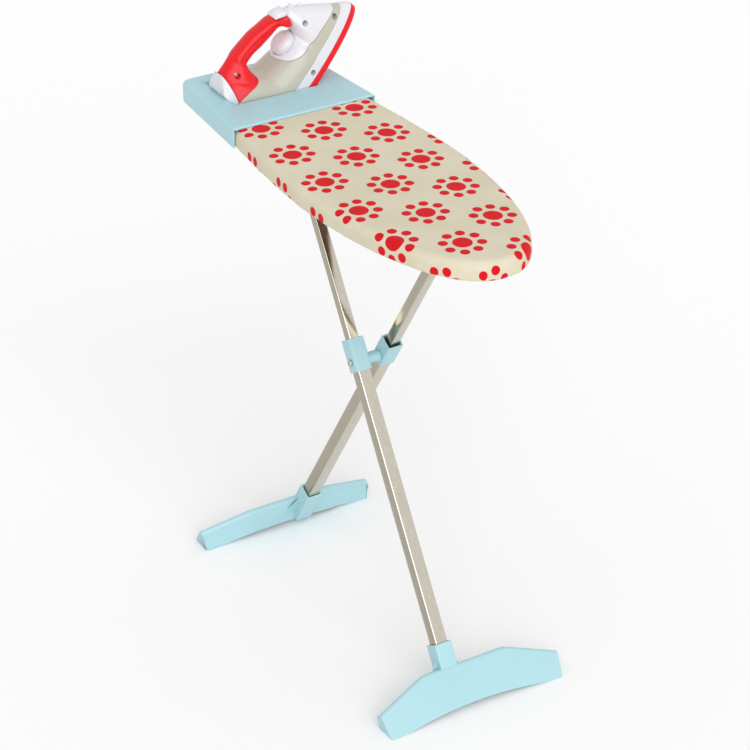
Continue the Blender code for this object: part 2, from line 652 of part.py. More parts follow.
def build_guide_rail(finishes):
    y = LEG_OFFSET
    wall = RAIL_WALL
    outline = [(-RAIL_OUTER_HALF, RAIL_BOTTOM), (-RAIL_GAP_HALF, RAIL_BOTTOM), (-RAIL_GAP_HALF, RAIL_BOTTOM + wall),
               (-RAIL_INNER_HALF, RAIL_BOTTOM + wall), (-RAIL_INNER_HALF, RAIL_TOP - wall),
               (RAIL_INNER_HALF, RAIL_TOP - wall), (RAIL_INNER_HALF, RAIL_BOTTOM + wall),
               (RAIL_GAP_HALF, RAIL_BOTTOM + wall), (RAIL_GAP_HALF, RAIL_BOTTOM), (RAIL_OUTER_HALF, RAIL_BOTTOM),
               (RAIL_OUTER_HALF, RAIL_TOP), (-RAIL_OUTER_HALF, RAIL_TOP)]
    outline = [(y + across, height) for across, height in outline]
    rail = prism("guide_rail", outline, RAIL_START_X, RAIL_END_X, "X")
    for side in (-1, 1):
        near, far = sorted((y + side * RAIL_GAP_HALF, y + side * (RAIL_OUTER_HALF - wall / 2)))
        join(rail, box("end_stop", (RAIL_START_X, near, RAIL_BOTTOM), (RAIL_START_X + wall, far, RAIL_TOP - wall / 2)))
        near, far = sorted((y + side * (RAIL_OUTER_HALF - wall / 2), y + side * (RAIL_OUTER_HALF + RAIL_LUG)))
        half = RAIL_LUG_LENGTH / 2
        join(rail, box("lug", (RAIL_SCREW_X - half, near, RAIL_TOP - wall), (RAIL_SCREW_X + half, far, RAIL_TOP)))
        screw_y = y + side * RAIL_SCREW_OFFSET
        cut(rail, screw_hole(RAIL_SCREW_X, screw_y, RAIL_TOP - wall - OVERRUN, RAIL_TOP + OVERRUN))
        name = "guide_rail_screw_right" if side < 0 else "guide_rail_screw_left"
        deck_screw(name, RAIL_SCREW_X, screw_y, wall, finishes["screw_steel"])
    dress(rail, finishes["zinc"])


# Legs, in a frame with its origin at the pivot, its Z up the leg and its X to the outside

def square_tube(name, size, wall, corner, low, high):
    outer = rounded_square(size, corner)
    inner = rounded_square(size - 2 * wall, max(corner - wall, corner / 2))
    rings = [[(x, y - LEG_OFFSET, height) for x, y in outline]
             for outline, height in ((outer, low), (outer, high), (inner, high), (inner, low))]
    return lofted(name, rings, True)


def bolt_hole(half):
    return rod("bolt_hole", PIVOT_BOLT_RADIUS + GAP, -LEG_OFFSET - half, -LEG_OFFSET + half, "Y", (0, 0), SMALL_SIDES)


def leg_eye(name):
    """Plug in the top of a leg, with an eye for the hinge pin or the runner's pin."""
    plug_half = UPPER_TUBE_SIZE / 2 - UPPER_TUBE_WALL - GAP
    tube_end = UPPER_REACH - EYE_HEAD_LENGTH
    plug_low = tube_end - EYE_PLUG_LENGTH
    head_low = tube_end + GAP
    plug = prism(name, rounded_square(2 * plug_half, UPPER_TUBE_CORNER - UPPER_TUBE_WALL / 2), plug_low,
                 head_low + EYE_HEAD_LENGTH / 2)
    plug.data.transform(Matrix.Translation((0, -LEG_OFFSET, 0)))
    half = EYE_HALF_WIDTH
    outline = [(-half, head_low), (half, head_low)]
    for step in range(SMALL_SIDES // 2 + 1):
        turn = math.pi * step / (SMALL_SIDES // 2)
        outline.append((half * math.cos(turn), UPPER_REACH + half * math.sin(turn)))
    join(plug, prism("eye_head", outline, -LEG_OFFSET - half, -LEG_OFFSET + half, "Y"))
    cut(plug, rod("pin_hole", PIN_RADIUS + GAP, -LEG_OFFSET - 2 * half, -LEG_OFFSET + 2 * half, "Y",
                  (0, UPPER_REACH), SMALL_SIDES))
    return plug


def foot_section(share, wall):
    """Ring of the foot's shell in the x-z plane, at a share of the way from the middle to the end."""
    y_floor = abs(share) * FOOT_HALF_LENGTH
    fall = max(0, (y_floor - FOOT_RIDGE_HALF_LENGTH) / (FOOT_HALF_LENGTH - FOOT_RIDGE_HALF_LENGTH))
    height = FOOT_HEIGHT + (FOOT_END_HEIGHT - FOOT_HEIGHT) * fall - wall
    radius = max(FOOT_RIDGE_RADIUS - wall, FOOT_RIDGE_RADIUS / 3)
    lean = math.hypot(1, FOOT_OUTER_SLOPE)
    inner_lean = math.hypot(1, FOOT_INNER_SLOPE)
    outer_x = FOOT_OUTER_X - wall * lean
    centre_z = height - radius
    centre_x = outer_x - FOOT_OUTER_SLOPE * centre_z - radius * lean
    start = math.atan2(FOOT_OUTER_SLOPE, 1)
    stop = math.pi + math.atan2(FOOT_INNER_SLOPE, 1)
    below = OVERRUN if wall == 0 else 2 * OVERRUN
    ring = [(outer_x + FOOT_OUTER_SLOPE * below, -below)]
    for step in range(RIDGE_STEPS + 1):
        turn = start + (stop - start) * step / RIDGE_STEPS
        ring.append((centre_x + radius * math.cos(turn), centre_z + radius * math.sin(turn)))
    ring.append((FOOT_INNER_X + wall * inner_lean, -below))
    sign = -1 if share < 0 else 1
    reach = y_floor - (wall if y_floor == FOOT_HALF_LENGTH else 0)
    return [(x, sign * (reach + FOOT_END_SLANT * abs(share) * z / FOOT_END_HEIGHT), z) for x, z in ring]


def shrunk(ring, distance, step_y):
    """An end ring drawn in towards its middle and moved out, for a rounded end."""
    middle = sum((Vector(point) for point in ring), Vector()) / len(ring)
    moved = []
    for point in ring:
        inward = Vector(point) - middle
        inward.y = 0
        length = max(inward.length, distance)
        moved.append(Vector(point) - inward * (distance / length) + Vector((0, step_y, 0)))
    return moved


def foot_shell(name, wall):
    ridge_share = FOOT_RIDGE_HALF_LENGTH / FOOT_HALF_LENGTH
    shares = [-1, -ridge_share, ridge_share, 1]
    rings = [foot_section(share, wall) for share in shares]
    if wall == 0:
        rings.insert(0, shrunk(rings[0], FOOT_END_ROUND, -FOOT_END_ROUND))
        rings.append(shrunk(rings[-1], FOOT_END_ROUND, FOOT_END_ROUND))
    return lofted(name, rings)


def up_the_leg():
    """From the leg's frame along its centre line to the foot's upright frame."""
    return Matrix.Translation((0, -LEG_OFFSET, 0)) @ Matrix.Rotation(-LEG_ANGLE, 4, "Y")


def leg_foot(name):
    """Moulded foot in an upright frame, with its origin where the leg's line meets the floor."""
    foot = foot_shell(name, 0)
    cut(foot, foot_shell("hollow", FOOT_WALL))

    tilt = up_the_leg()
    block = prism("socket", rounded_square(SOCKET_SIZE, SOCKET_CORNER), -SOCKET_SIZE / 2, SOCKET_RISE)
    block.data.transform(tilt)
    inside = SOCKET_SIZE / 2 - SOCKET_CORNER
    outside = SOCKET_SIZE / 2 + GUSSET_REACH
    top = SOCKET_RISE - GUSSET_DROP
    for side in (-1, 1):
        web = [(side * inside, top), (side * outside, top - GUSSET_HEIGHT), (side * outside, FOOT_WALL),
               (side * inside, FOOT_WALL)]
        gusset = prism("gusset", web, -GUSSET_THICKNESS / 2, GUSSET_THICKNESS / 2, "X")
        gusset.data.transform(tilt)
        join(block, gusset)
    join(foot, block)

    span = FOOT_HALF_LENGTH - FOOT_PAD_LENGTH
    beyond = 2 * FOOT_HALF_LENGTH
    low, reach = -FOOT_HEIGHT, 2 * FOOT_HEIGHT
    rings = []
    for step in range(-FOOT_ARCH_STEPS - 1, FOOT_ARCH_STEPS + 2):
        share = step / FOOT_ARCH_STEPS
        y = span * share if abs(share) <= 1 else math.copysign(beyond, share)
        rise = max(0, FOOT_ARCH_HEIGHT * (1 - share ** 2))
        rings.append([(-reach, y, low), (reach, y, low), (reach, y, rise), (-reach, y, rise)])
    cut(foot, lofted("floor", rings))

    bore = prism("bore", rounded_square(LOWER_TUBE_SIZE + 2 * SOCKET_CLEARANCE, LOWER_TUBE_CORNER),
                 SOCKET_FLOOR_RISE, SOCKET_RISE + OVERRUN)
    access = rod("access", SCREW_HEAD_RADIUS + 2 * GAP, -SOCKET_SIZE, SOCKET_FLOOR_RISE - SOCKET_FLOOR,
                 sides=SMALL_SIDES)
    hole = rod("hole", SCREW_RADIUS + GAP, -SOCKET_SIZE, SOCKET_RISE, sides=SMALL_SIDES)
    for tool in (bore, access, hole):
        tool.data.transform(tilt)
        cut(foot, tool)
    return foot


def build_leg(side, finishes, leg, shared):
    """One leg. The first leg makes the shared meshes and the second one copies them."""
    steel, plastic = finishes["chrome"], finishes["blue_plastic"]
    stand = Matrix.Translation((0, 0, -LOWER_REACH)) @ Matrix.Rotation(LEG_ANGLE, 4, "Y")
    tube_end = UPPER_REACH - EYE_HEAD_LENGTH
    lower_end = -(LOWER_REACH - SOCKET_FLOOR_RISE - GAP)

    def piece(name, make, finish, matrix=None):
        if name not in shared:
            shared[name] = dress(make(f"{side}_{name}"), finish, leg, matrix)
            return shared[name]
        return dress(copy_piece(shared[name], f"{side}_{name}"), finish, leg, matrix)

    def upper_tube(name):
        tube = square_tube(name, UPPER_TUBE_SIZE, UPPER_TUBE_WALL, UPPER_TUBE_CORNER, -UPPER_TUBE_TAIL, tube_end)
        return cut(tube, bolt_hole(UPPER_TUBE_SIZE))

    def lower_tube(name):
        tube = square_tube(name, LOWER_TUBE_SIZE, LOWER_TUBE_WALL, LOWER_TUBE_CORNER, lower_end, LOWER_TUBE_HEAD)
        return cut(tube, bolt_hole(LOWER_TUBE_SIZE))

    def collar(name):
        wall = (COLLAR_SIZE - LOWER_TUBE_SIZE) / 2 - GAP
        tube = square_tube(name, COLLAR_SIZE, wall, COLLAR_CORNER, -COLLAR_BELOW, COLLAR_ABOVE)
        return cut(tube, bolt_hole(COLLAR_SIZE))

    def plug(name):
        size = LOWER_TUBE_SIZE - 2 * LOWER_TUBE_WALL - 2 * GAP
        block = prism(name, rounded_square(size, LOWER_TUBE_CORNER - LOWER_TUBE_WALL / 2), lower_end,
                      lower_end + PLUG_LENGTH)
        block.data.transform(Matrix.Translation((0, -LEG_OFFSET, 0)))
        return cut(block, rod("hole", SCREW_RADIUS + GAP, lower_end - OVERRUN, lower_end + FOOT_SCREW_BITE + GAP,
                              centre=(0, -LEG_OFFSET), sides=SMALL_SIDES))

    piece("leg_upper_tube", upper_tube, steel)
    piece("leg_lower_tube", lower_tube, steel)
    piece("leg_collar", collar, plastic)
    piece("leg_eye", leg_eye, plastic)
    piece("foot", leg_foot, plastic, stand)
    piece("foot_plug", plug, finishes["dark_plastic"])
    seat = SOCKET_FLOOR_RISE - SOCKET_FLOOR - GAP - LOWER_REACH
    place = Matrix.Translation((0, -LEG_OFFSET, seat))
    screw(f"{side}_foot_screw", SCREW_RADIUS, SCREW_HEAD_RADIUS, SCREW_HEAD_HEIGHT,
          SOCKET_FLOOR + 2 * GAP + FOOT_SCREW_BITE, finishes["screw_steel"], place, leg)


def build_legs(finishes):
    hinge = axis_empty("front_leg_hinge_axis", Matrix.Translation((HINGE_X, 0, PIN_HEIGHT))
                       @ Matrix.Rotation(-LEG_ANGLE, 4, "Y"))
    front = axis_empty("front_leg_frame", Matrix.Translation((0, 0, -UPPER_REACH)), hinge)
    turn = Matrix.Rotation(LEG_ANGLE, 4, "Y") @ Matrix.Rotation(math.pi, 4, "Z") @ Matrix.Rotation(-LEG_ANGLE, 4, "Y")
    back = axis_empty("back_leg_pivot_axis", turn, front)
    shared = {}
    build_leg("front", finishes, front, shared)
    build_leg("back", finishes, back, shared)

    outer = LEG_OFFSET + COLLAR_SIZE / 2 + GAP
    nut_end = outer + PIVOT_NUT_HEIGHT
    profile = [(PIVOT_HEAD_RADIUS * RECESS_SHARE, -outer - PIVOT_HEAD_HEIGHT),
               (PIVOT_HEAD_RADIUS, -outer - PIVOT_HEAD_HEIGHT / 2), (PIVOT_HEAD_RADIUS, -outer),
               (PIVOT_BOLT_RADIUS, -outer), (PIVOT_BOLT_RADIUS, nut_end - GAP),
               (PIVOT_BOLT_RADIUS * RECESS_SHARE, nut_end + PIVOT_BOLT_RADIUS / 2)]
    across = Matrix.Rotation(-math.pi / 2, 4, "X")
    dress(turned("pivot_bolt", profile), finishes["chrome"], front, across)
    hole = PIVOT_BOLT_RADIUS + GAP
    nut = rod("pivot_nut", PIVOT_NUT_RADIUS, outer, nut_end, sides=NUT_SIDES)
    cut(nut, rod("thread", hole, outer - OVERRUN, nut_end + OVERRUN, sides=ROUND_SIDES))
    dress(nut, finishes["screw_steel"], front, across)
    half = LEG_OFFSET - COLLAR_SIZE / 2 - GAP
    spacer = turned("pivot_spacer", [(PIVOT_SPACER_RADIUS, -half), (PIVOT_SPACER_RADIUS, half), (hole, half),
                                     (hole, -half)], ROUND_SIDES, True)
    dress(spacer, finishes["blue_plastic"], front, across)

    runner = axis_empty("runner_axis", Matrix.Translation((0, -LEG_OFFSET, UPPER_REACH)), back)
    inner = EYE_HALF_WIDTH + RUNNING_GAP
    far = inner + SHOE_WIDTH
    dress(rod("runner_pin", PIN_RADIUS, -far, far, sides=SMALL_SIDES), finishes["screw_steel"], runner, across)
    hole = PIN_RADIUS + GAP
    for name, ends in (("runner_shoe_left", (inner, far)), ("runner_shoe_right", (-far, -inner))):
        profile = [(SHOE_RADIUS, ends[0]), (SHOE_RADIUS, ends[1]), (hole, ends[1]), (hole, ends[0])]
        dress(turned(name, profile, ROUND_SIDES, True), finishes["dark_plastic"], runner, across)


# Toy iron

def scaled(shares):
    return [(y * IRON_LENGTH, z * IRON_HEIGHT) for y, z in shares]


def read_line(points, y):
    """Height of a broken line at y; the points' first numbers rise."""
    for (y0, z0), (y1, z1) in zip(points, points[1:]):
        if y <= y1:
            return z0 + (z1 - z0) * max(0, y - y0) / (y1 - y0)
    return points[-1][1]


def border_line(lift=0.0):
    """Line between the grey body and the white hood, in the side view."""
    return [(y * IRON_LENGTH, SKIRT_TOP + z * (IRON_HEIGHT - SKIRT_TOP) + lift) for y, z in BORDER_SHARES]


def iron_plan(y):
    """Half width of the iron's sole at y."""
    start = NOSE_TAPER_SHARE * IRON_LENGTH
    share = min(max(0, (y - start) / (IRON_LENGTH - start)), 1)
    return IRON_HALF_WIDTH * (1 - share ** NOSE_TAPER_CURVE) ** NOSE_TAPER_POWER


def plan_places(last):
    start = NOSE_TAPER_SHARE * IRON_LENGTH
    turns = [math.pi / 2 * step / NOSE_TAPER_STEPS for step in range(NOSE_TAPER_STEPS)]
    places = [start + (IRON_LENGTH - start) * math.sin(turn) for turn in turns]
    return [y for y in places if y < last]


def dome_squareness(y):
    return read_line(DOME_SQUARENESS, y / IRON_LENGTH)


def iron_dome(name, distance, first, last):
    """The iron above its sole, as one solid; a distance makes it thinner all round."""
    crest = scaled(CREST_SHARES)
    places = sorted({y for y, _ in crest if first < y < last} | set(plan_places(last)) | {first, last})
    places = [y for index, y in enumerate(places) if index == 0 or y - places[index - 1] > 4 * GAP or y == last]
    rings = []
    base = IRON_BASE - (OVERRUN if distance > 0 else 0)
    for y in places:
        width = iron_plan(y) - distance
        height = read_line(crest, y) - distance - base
        ring = []
        for step in range(2 * DOME_STEPS + 1):
            turn = math.pi * step / (2 * DOME_STEPS)
            rise = abs(math.sin(turn)) ** dome_squareness(y)
            ring.append((width * math.cos(turn), y, base + height * rise))
        rings.append(ring)
    return triangulated(lofted(name, rings))


def dome_half_width(y, z):
    height = read_line(scaled(CREST_SHARES), y) - IRON_BASE
    rise = min((z - IRON_BASE) / height, 1) ** (1 / dome_squareness(y))
    return iron_plan(y) * math.cos(math.asin(rise))


def handle_loft(name, distance, first=0.0, last=1.0):
    rings = []
    for y, bottom, top, bottom_width, top_width in HANDLE_SHARES:
        if not first <= y <= last:
            continue
        low = bottom * IRON_HEIGHT + distance
        high = top * IRON_HEIGHT - distance
        ring = []
        for step in range(HANDLE_SIDES):
            turn = 2 * math.pi * (step + 0.5) / HANDLE_SIDES
            rise = math.copysign(abs(math.sin(turn)) ** HANDLE_SQUARENESS, math.sin(turn))
            reach = math.copysign(abs(math.cos(turn)) ** HANDLE_SQUARENESS, math.cos(turn))
            share = (1 - rise) / 2
            width = (top_width + (bottom_width - top_width) * share) * IRON_HALF_WIDTH - distance
            ring.append((width * reach, y * IRON_LENGTH, (low + high) / 2 + (high - low) / 2 * rise))
        rings.append(ring)
    return triangulated(lofted(name, rings))


def dial_seat():
    """(y, z) of the bottom of the dial's well, which leaves a shelf of the hood behind the dial."""
    y = DIAL_SHARE * IRON_LENGTH
    rear = y - DIAL_RADIUS - RUNNING_GAP
    return y, read_line(border_line(2 * GAP), rear) + DIAL_SHELF


def button_outline():
    return scaled(BUTTON_SHARES)


def button_recess():
    """Room for the steam button and its travel."""
    outline = button_outline()
    rear = min(y for y, _ in outline) - GAP
    front = max(y for y, _ in outline) + GAP
    drop = BUTTON_TRAVEL + GAP
    floor = outline[1][1] - drop
    sweep = [(rear, outline[0][1] - drop), (outline[1][0], floor), (front, floor),
             (front, 2 * IRON_HEIGHT), (rear, 2 * IRON_HEIGHT)]
    half = BUTTON_HALF_WIDTH + GAP
    recess = prism("recess", sweep, -half, half, "X")
    stem = rod("stem_hole", BUTTON_STEM_RADIUS + GAP, floor - 2 * BUTTON_STEM_LENGTH, floor + BUTTON_TRAVEL,
               centre=(0, BUTTON_STEM_SHARE * IRON_LENGTH), sides=SMALL_SIDES)
    return join(recess, stem)


def screw_places():
    """Name, y, z, half width and the pieces that each of the iron's screws joins."""
    hood_y, hood_z = HOOD_SCREW_SHARES[0] * IRON_LENGTH, HOOD_SCREW_SHARES[1] * IRON_HEIGHT
    body_y = read_line([(z, y) for y, z in reversed(border_line())], SKIRT_TOP + BODY_SCREW_BAND)
    body_z = SKIRT_TOP + BODY_SCREW_BAND / 2
    skirt_y, skirt_z = SKIRT_SCREW_SHARE * IRON_LENGTH, (SOLE_THICKNESS + SKIRT_TOP) / 2
    handle_y, handle_z = HANDLE_SCREW_SHARES[0] * IRON_LENGTH, HANDLE_SCREW_SHARES[1] * IRON_HEIGHT
    handle_half = (HANDLE_SHARES[2][3] + HANDLE_SHARES[2][4]) / 2 * IRON_HALF_WIDTH
    return {"handle": (handle_y, handle_z, handle_half),
            "hood": (hood_y, hood_z, dome_half_width(hood_y, hood_z)),
            "body": (body_y, body_z, dome_half_width(body_y, body_z)),
            "skirt": (skirt_y, skirt_z, dome_half_width(skirt_y, skirt_z))}


def boss(place):
    y, z, half = place
    radius = IRON_SCREW_HEAD_RADIUS + GAP + BOSS_WALL
    return rod("boss", radius, -2 * half, 2 * half, "X", (y, z), SMALL_SIDES)


def screw_bore(place):
    y, z, half = place
    seat = half * SCREW_SEAT_SHARE
    well = rod("well", IRON_SCREW_HEAD_RADIUS + GAP, seat, 2 * half, "X", (y, z), SMALL_SIDES)
    shank = rod("shank", IRON_SCREW_RADIUS + GAP, -half * SCREW_END_SHARE - GAP, seat + OVERRUN, "X", (y, z),
                SMALL_SIDES)
    return join(well, shank)


def split_shell(name, solid, hollow, profile, bore, finish, iron, cutters=()):
    """Left and right half shells of one coloured part, cut from the solid by a side profile."""
    for side in (-1, 1):
        half_name = f"{name}_right" if side < 0 else f"{name}_left"
        near, far = sorted((side * GAP / 2, side * 2 * IRON_HALF_WIDTH))
        shell = own_copy(solid, half_name)
        keep(shell, prism("half", profile, near, far, "X"))
        cut(shell, own_copy(hollow, "hollow"))
        for cutter in cutters:
            cut(shell, own_copy(cutter, "cutter"))
        cut(shell, own_copy(bore, "bore"))
        dress(shell, finish, iron)
    discard(bore, *cutters)


def build_iron_shells(finishes, iron, places):
    last = CREST_SHARES[-1][0] * IRON_LENGTH
    solid = iron_dome("dome", 0, IRON_REAR, last)
    hollow = iron_dome("inside", IRON_WALL, IRON_REAR / 2, INNER_FRONT_SHARE * IRON_LENGTH)
    for name in ("hood", "body", "skirt"):
        cut(hollow, boss(places[name]))
    front = 2 * IRON_LENGTH
    above = 2 * IRON_HEIGHT
    neck = [(IRON_LENGTH / 2, NECK_FLOOR_SHARE * IRON_HEIGHT), (front, NECK_FLOOR_SHARE * IRON_HEIGHT),
            (front, above), (IRON_LENGTH / 2, above)]
    cut(hollow, prism("solid_neck", neck, -IRON_LENGTH, IRON_LENGTH, "X"))

    skirt = [(0, 0), (front, 0), (front, SKIRT_TOP), (0, SKIRT_TOP)]
    split_shell("iron_skirt", solid, hollow, skirt, screw_bore(places["skirt"]), finishes["white_plastic"], iron)

    top = scaled(BODY_TOP_SHARES)
    border = border_line()
    bottom = SKIRT_TOP + GAP
    body = [(top[0][0], bottom), (border[-1][0], bottom)] + border[::-1] + top[::-1]
    split_shell("iron_body", solid, hollow, body, screw_bore(places["body"]), finishes["grey_plastic"], iron)

    border = border_line(2 * GAP)
    hood = border + [(border[-1][0], above), (border[0][0], above)]
    dial_y, seat = dial_seat()
    dial_well = rod("dial_well", DIAL_RADIUS + RUNNING_GAP, seat, above, centre=(0, dial_y))
    spindle_hole = rod("spindle_hole", DIAL_SPINDLE_RADIUS + GAP, bottom, above, centre=(0, dial_y),
                       sides=SMALL_SIDES)
    spray_y = SPRAY_SHARE * IRON_LENGTH
    spray_z = read_line(scaled(CREST_SHARES), spray_y)
    spray_hole = rod("spray_hole", SPRAY_RADIUS + GAP, spray_z - 2 * SPRAY_BELOW, above, centre=(0, spray_y),
                     sides=SMALL_SIDES)
    nozzle_hole = rod("nozzle_hole", NOZZLE_RADIUS + GAP, -2 * NOZZLE_BELOW, 2 * NOZZLE_ABOVE, sides=SMALL_SIDES)
    nozzle_hole.data.transform(nozzle_place())
    cutters = [dial_well, spindle_hole, spray_hole, nozzle_hole, button_recess()]
    split_shell("iron_hood", solid, hollow, hood, screw_bore(places["hood"]), finishes["white_plastic"], iron,
                cutters)
    discard(solid, hollow)


def build_iron_handle(finishes, iron, places):
    solid = handle_loft("handle", 0)
    join(solid, iron_dome("handle_foot", 0, IRON_REAR, HANDLE_FOOT_SHARE * IRON_LENGTH))
    below = -IRON_HEIGHT
    top = [(y, z + GAP) for y, z in scaled(BODY_TOP_SHARES)]
    under = [(top[0][0], below), (top[-1][0], below)] + top[::-1]
    cut(solid, prism("body_top", under, -IRON_LENGTH, IRON_LENGTH, "X"))
    rear = [(y + 2 * GAP, z) for y, z in scaled(HEEL_CUT_SHARES)]
    rear = [(rear[-1][0], 0), (rear[0][0], 0)] + rear
    cut(solid, prism("heel", rear, -IRON_LENGTH, IRON_LENGTH, "X"))
    pillar = iron_dome("pillar", -GAP, IRON_LENGTH / 2, CREST_SHARES[-3][0] * IRON_LENGTH)
    cut(solid, pillar)
    hollow = handle_loft("inside", IRON_WALL, *HANDLE_INNER_SHARES)
    cut(hollow, boss(places["handle"]))
    all_of_it = [(-IRON_LENGTH, -IRON_HEIGHT), (2 * IRON_LENGTH, -IRON_HEIGHT), (2 * IRON_LENGTH, 2 * IRON_HEIGHT),
                 (-IRON_LENGTH, 2 * IRON_HEIGHT)]
    split_shell("iron_handle", solid, hollow, all_of_it, screw_bore(places["handle"]), finishes["red_plastic"], iron,
                [button_recess()])
    discard(solid, hollow)


def nozzle_place():
    """Frame on the hood's front slope, with its Z out of the slope."""
    crest = scaled(CREST_SHARES)
    y = NOZZLE_SHARE * IRON_LENGTH
    z = read_line(crest, y)
    slope = (read_line(crest, y + OVERRUN) - z) / OVERRUN
    return Matrix.Translation((0, y, z)) @ Matrix.Rotation(math.atan2(slope, 1), 4, "X")


def build_iron_details(finishes, iron, places):
    outline = [(iron_plan(y), y) for y in [IRON_REAR] + plan_places(IRON_LENGTH)]
    outline = outline + [(0, IRON_LENGTH)] + [(-x, y) for x, y in reversed(outline)]
    sole = stacked("iron_sole_plate", outline, [(SOLE_EDGE, 0), (0, SOLE_EDGE), (0, SOLE_THICKNESS)])
    dress(sole, finishes["red_plastic"], iron)

    profile = [(0, 0), (HEEL_THICKNESS, 0), (HEEL_THICKNESS, HEEL_SHARES[0][1] * IRON_HEIGHT)] + scaled(HEEL_SHARES)
    heel = prism("iron_heel_cap", profile, -IRON_LENGTH, IRON_LENGTH, "X")
    arch_height = HEEL_ARCH_SHARE * IRON_HEIGHT
    arch = []
    for step in range(4 * DOME_STEPS + 1):
        turn = math.pi * step / (4 * DOME_STEPS)
        arch.append((IRON_HALF_WIDTH * math.cos(turn), arch_height * math.sin(turn) ** (2 / HEEL_ARCH_POWER)))
    keep(heel, prism("arch", arch, -IRON_HEIGHT, IRON_HEIGHT, "Y"))
    dress(heel, finishes["white_plastic"], iron)

    crest = scaled(CREST_SHARES)
    dial_y, seat = dial_seat()
    knob = [(DIAL_SPINDLE_RADIUS, -DIAL_SPINDLE_LENGTH), (DIAL_SPINDLE_RADIUS, 0), (DIAL_RADIUS, 0)]
    for step in range(DIAL_STEPS):
        turn = math.pi / 2 * step / DIAL_STEPS
        knob.append((DIAL_RADIUS * math.cos(turn), DIAL_RIM + (DIAL_HEIGHT - DIAL_RIM) * math.sin(turn)))
    dial = turned("iron_dial", knob)
    dress(dial, finishes["white_plastic"], iron, Matrix.Translation((0, dial_y, seat + GAP)))

    outline = button_outline()
    rings = []
    for step in range(-BUTTON_STEPS, BUTTON_STEPS + 1):
        share = step / BUTTON_STEPS
        fall = BUTTON_SIDE_SHARE + (1 - BUTTON_SIDE_SHARE) * math.sqrt(1 - share ** 2)
        ring = []
        for y, z in outline:
            floor = read_line(outline[:3], y)
            ring.append((share * BUTTON_HALF_WIDTH, y, floor + (z - floor) * fall))
        rings.append(ring)
    button = lofted("iron_steam_button", rings)
    stem_y = BUTTON_STEM_SHARE * IRON_LENGTH
    low = outline[1][1]
    join(button, rod("stem", BUTTON_STEM_RADIUS, low - BUTTON_STEM_LENGTH, low + BUTTON_HALF_WIDTH / 2,
                     centre=(0, stem_y), sides=SMALL_SIDES))
    dress(button, finishes["white_plastic"], iron)

    spray_y = SPRAY_SHARE * IRON_LENGTH
    place = Matrix.Translation((0, spray_y, read_line(crest, spray_y)))
    edge = SPRAY_RADIUS / 4
    spray = turned("iron_spray_button", [(SPRAY_RADIUS, -SPRAY_BELOW), (SPRAY_RADIUS, SPRAY_ABOVE - edge),
                                         (SPRAY_RADIUS - edge, SPRAY_ABOVE)], SMALL_SIDES)
    dress(spray, finishes["white_plastic"], iron, place)

    nozzle = turned("iron_spray_nozzle", [(NOZZLE_RADIUS, -NOZZLE_BELOW), (NOZZLE_RADIUS, NOZZLE_ABOVE / 2),
                                          (NOZZLE_TIP_RADIUS, NOZZLE_ABOVE)], SMALL_SIDES)
    dress(nozzle, finishes["white_plastic"], iron, nozzle_place())

    for name, (y, z, half) in places.items():
        seat = half * SCREW_SEAT_SHARE + GAP
        place = Matrix.Translation((seat, y, z)) @ Matrix.Rotation(-math.pi / 2, 4, "Y")
        screw(f"iron_{name}_screw", IRON_SCREW_RADIUS, IRON_SCREW_HEAD_RADIUS, IRON_SCREW_HEAD_HEIGHT,
              seat + half * SCREW_END_SHARE, finishes["screw_steel"], place, iron)


def build_iron(finishes):
    y, z = slot_corner()
    turn = IRON_LEAN
    y += GAP * (math.cos(turn) - math.sin(turn))
    z += GAP * (math.sin(turn) + math.cos(turn))
    iron = axis_empty("iron_frame", Matrix.Translation((SLOT_X, y, z)) @ Matrix.Rotation(turn, 4, "X"))
    places = screw_places()
    build_iron_shells(finishes, iron, places)
    build_iron_handle(finishes, iron, places)
    build_iron_details(finishes, iron, places)


def make_finishes():
    return {"blue_plastic": make_material("blue_plastic", (0.50, 0.78, 0.84), 0.4),
            "dark_plastic": make_material("dark_plastic", (0.06, 0.06, 0.07), 0.5),
            "chrome": make_material("chrome", (0.72, 0.70, 0.66), 0.15, 1.0),
            "screw_steel": make_material("screw_steel", (0.55, 0.55, 0.56), 0.3, 1.0),
            "zinc": make_material("zinc", (0.62, 0.63, 0.65), 0.4, 1.0),
            "hardboard": make_material("hardboard", (0.36, 0.22, 0.12), 0.7),
            "foam": make_material("foam", (0.86, 0.83, 0.72), 0.9),
            "fabric": make_material("fabric", (0.68, 0.62, 0.47), 0.9),
            "red_plastic": make_material("red_plastic", (0.78, 0.02, 0.04), 0.3),
            "white_plastic": make_material("white_plastic", (0.82, 0.82, 0.85), 0.35),
            "grey_plastic": make_material("grey_plastic", (0.62, 0.62, 0.53), 0.4)}


def main():
    clear_scene()
    finishes = make_finishes()
    build_board(finishes)
    build_tray(finishes)
    build_hinge(finishes)
    build_guide_rail(finishes)
    build_legs(finishes)
    build_iron(finishes)


main()
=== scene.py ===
"""Looks of the toy ironing board and its toy iron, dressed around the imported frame.

Metres, +Z up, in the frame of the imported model: the origin is on the floor under the
middle of the board, +X runs to the board's nose, and the iron's sole faces +Y.
"""
import json
import logging
import math
from dataclasses import dataclass, field
from enum import Enum
from typing import Any, Callable, NamedTuple, Sequence

import bmesh
import bpy
import numpy as np
from mathutils import Matrix, Vector, noise

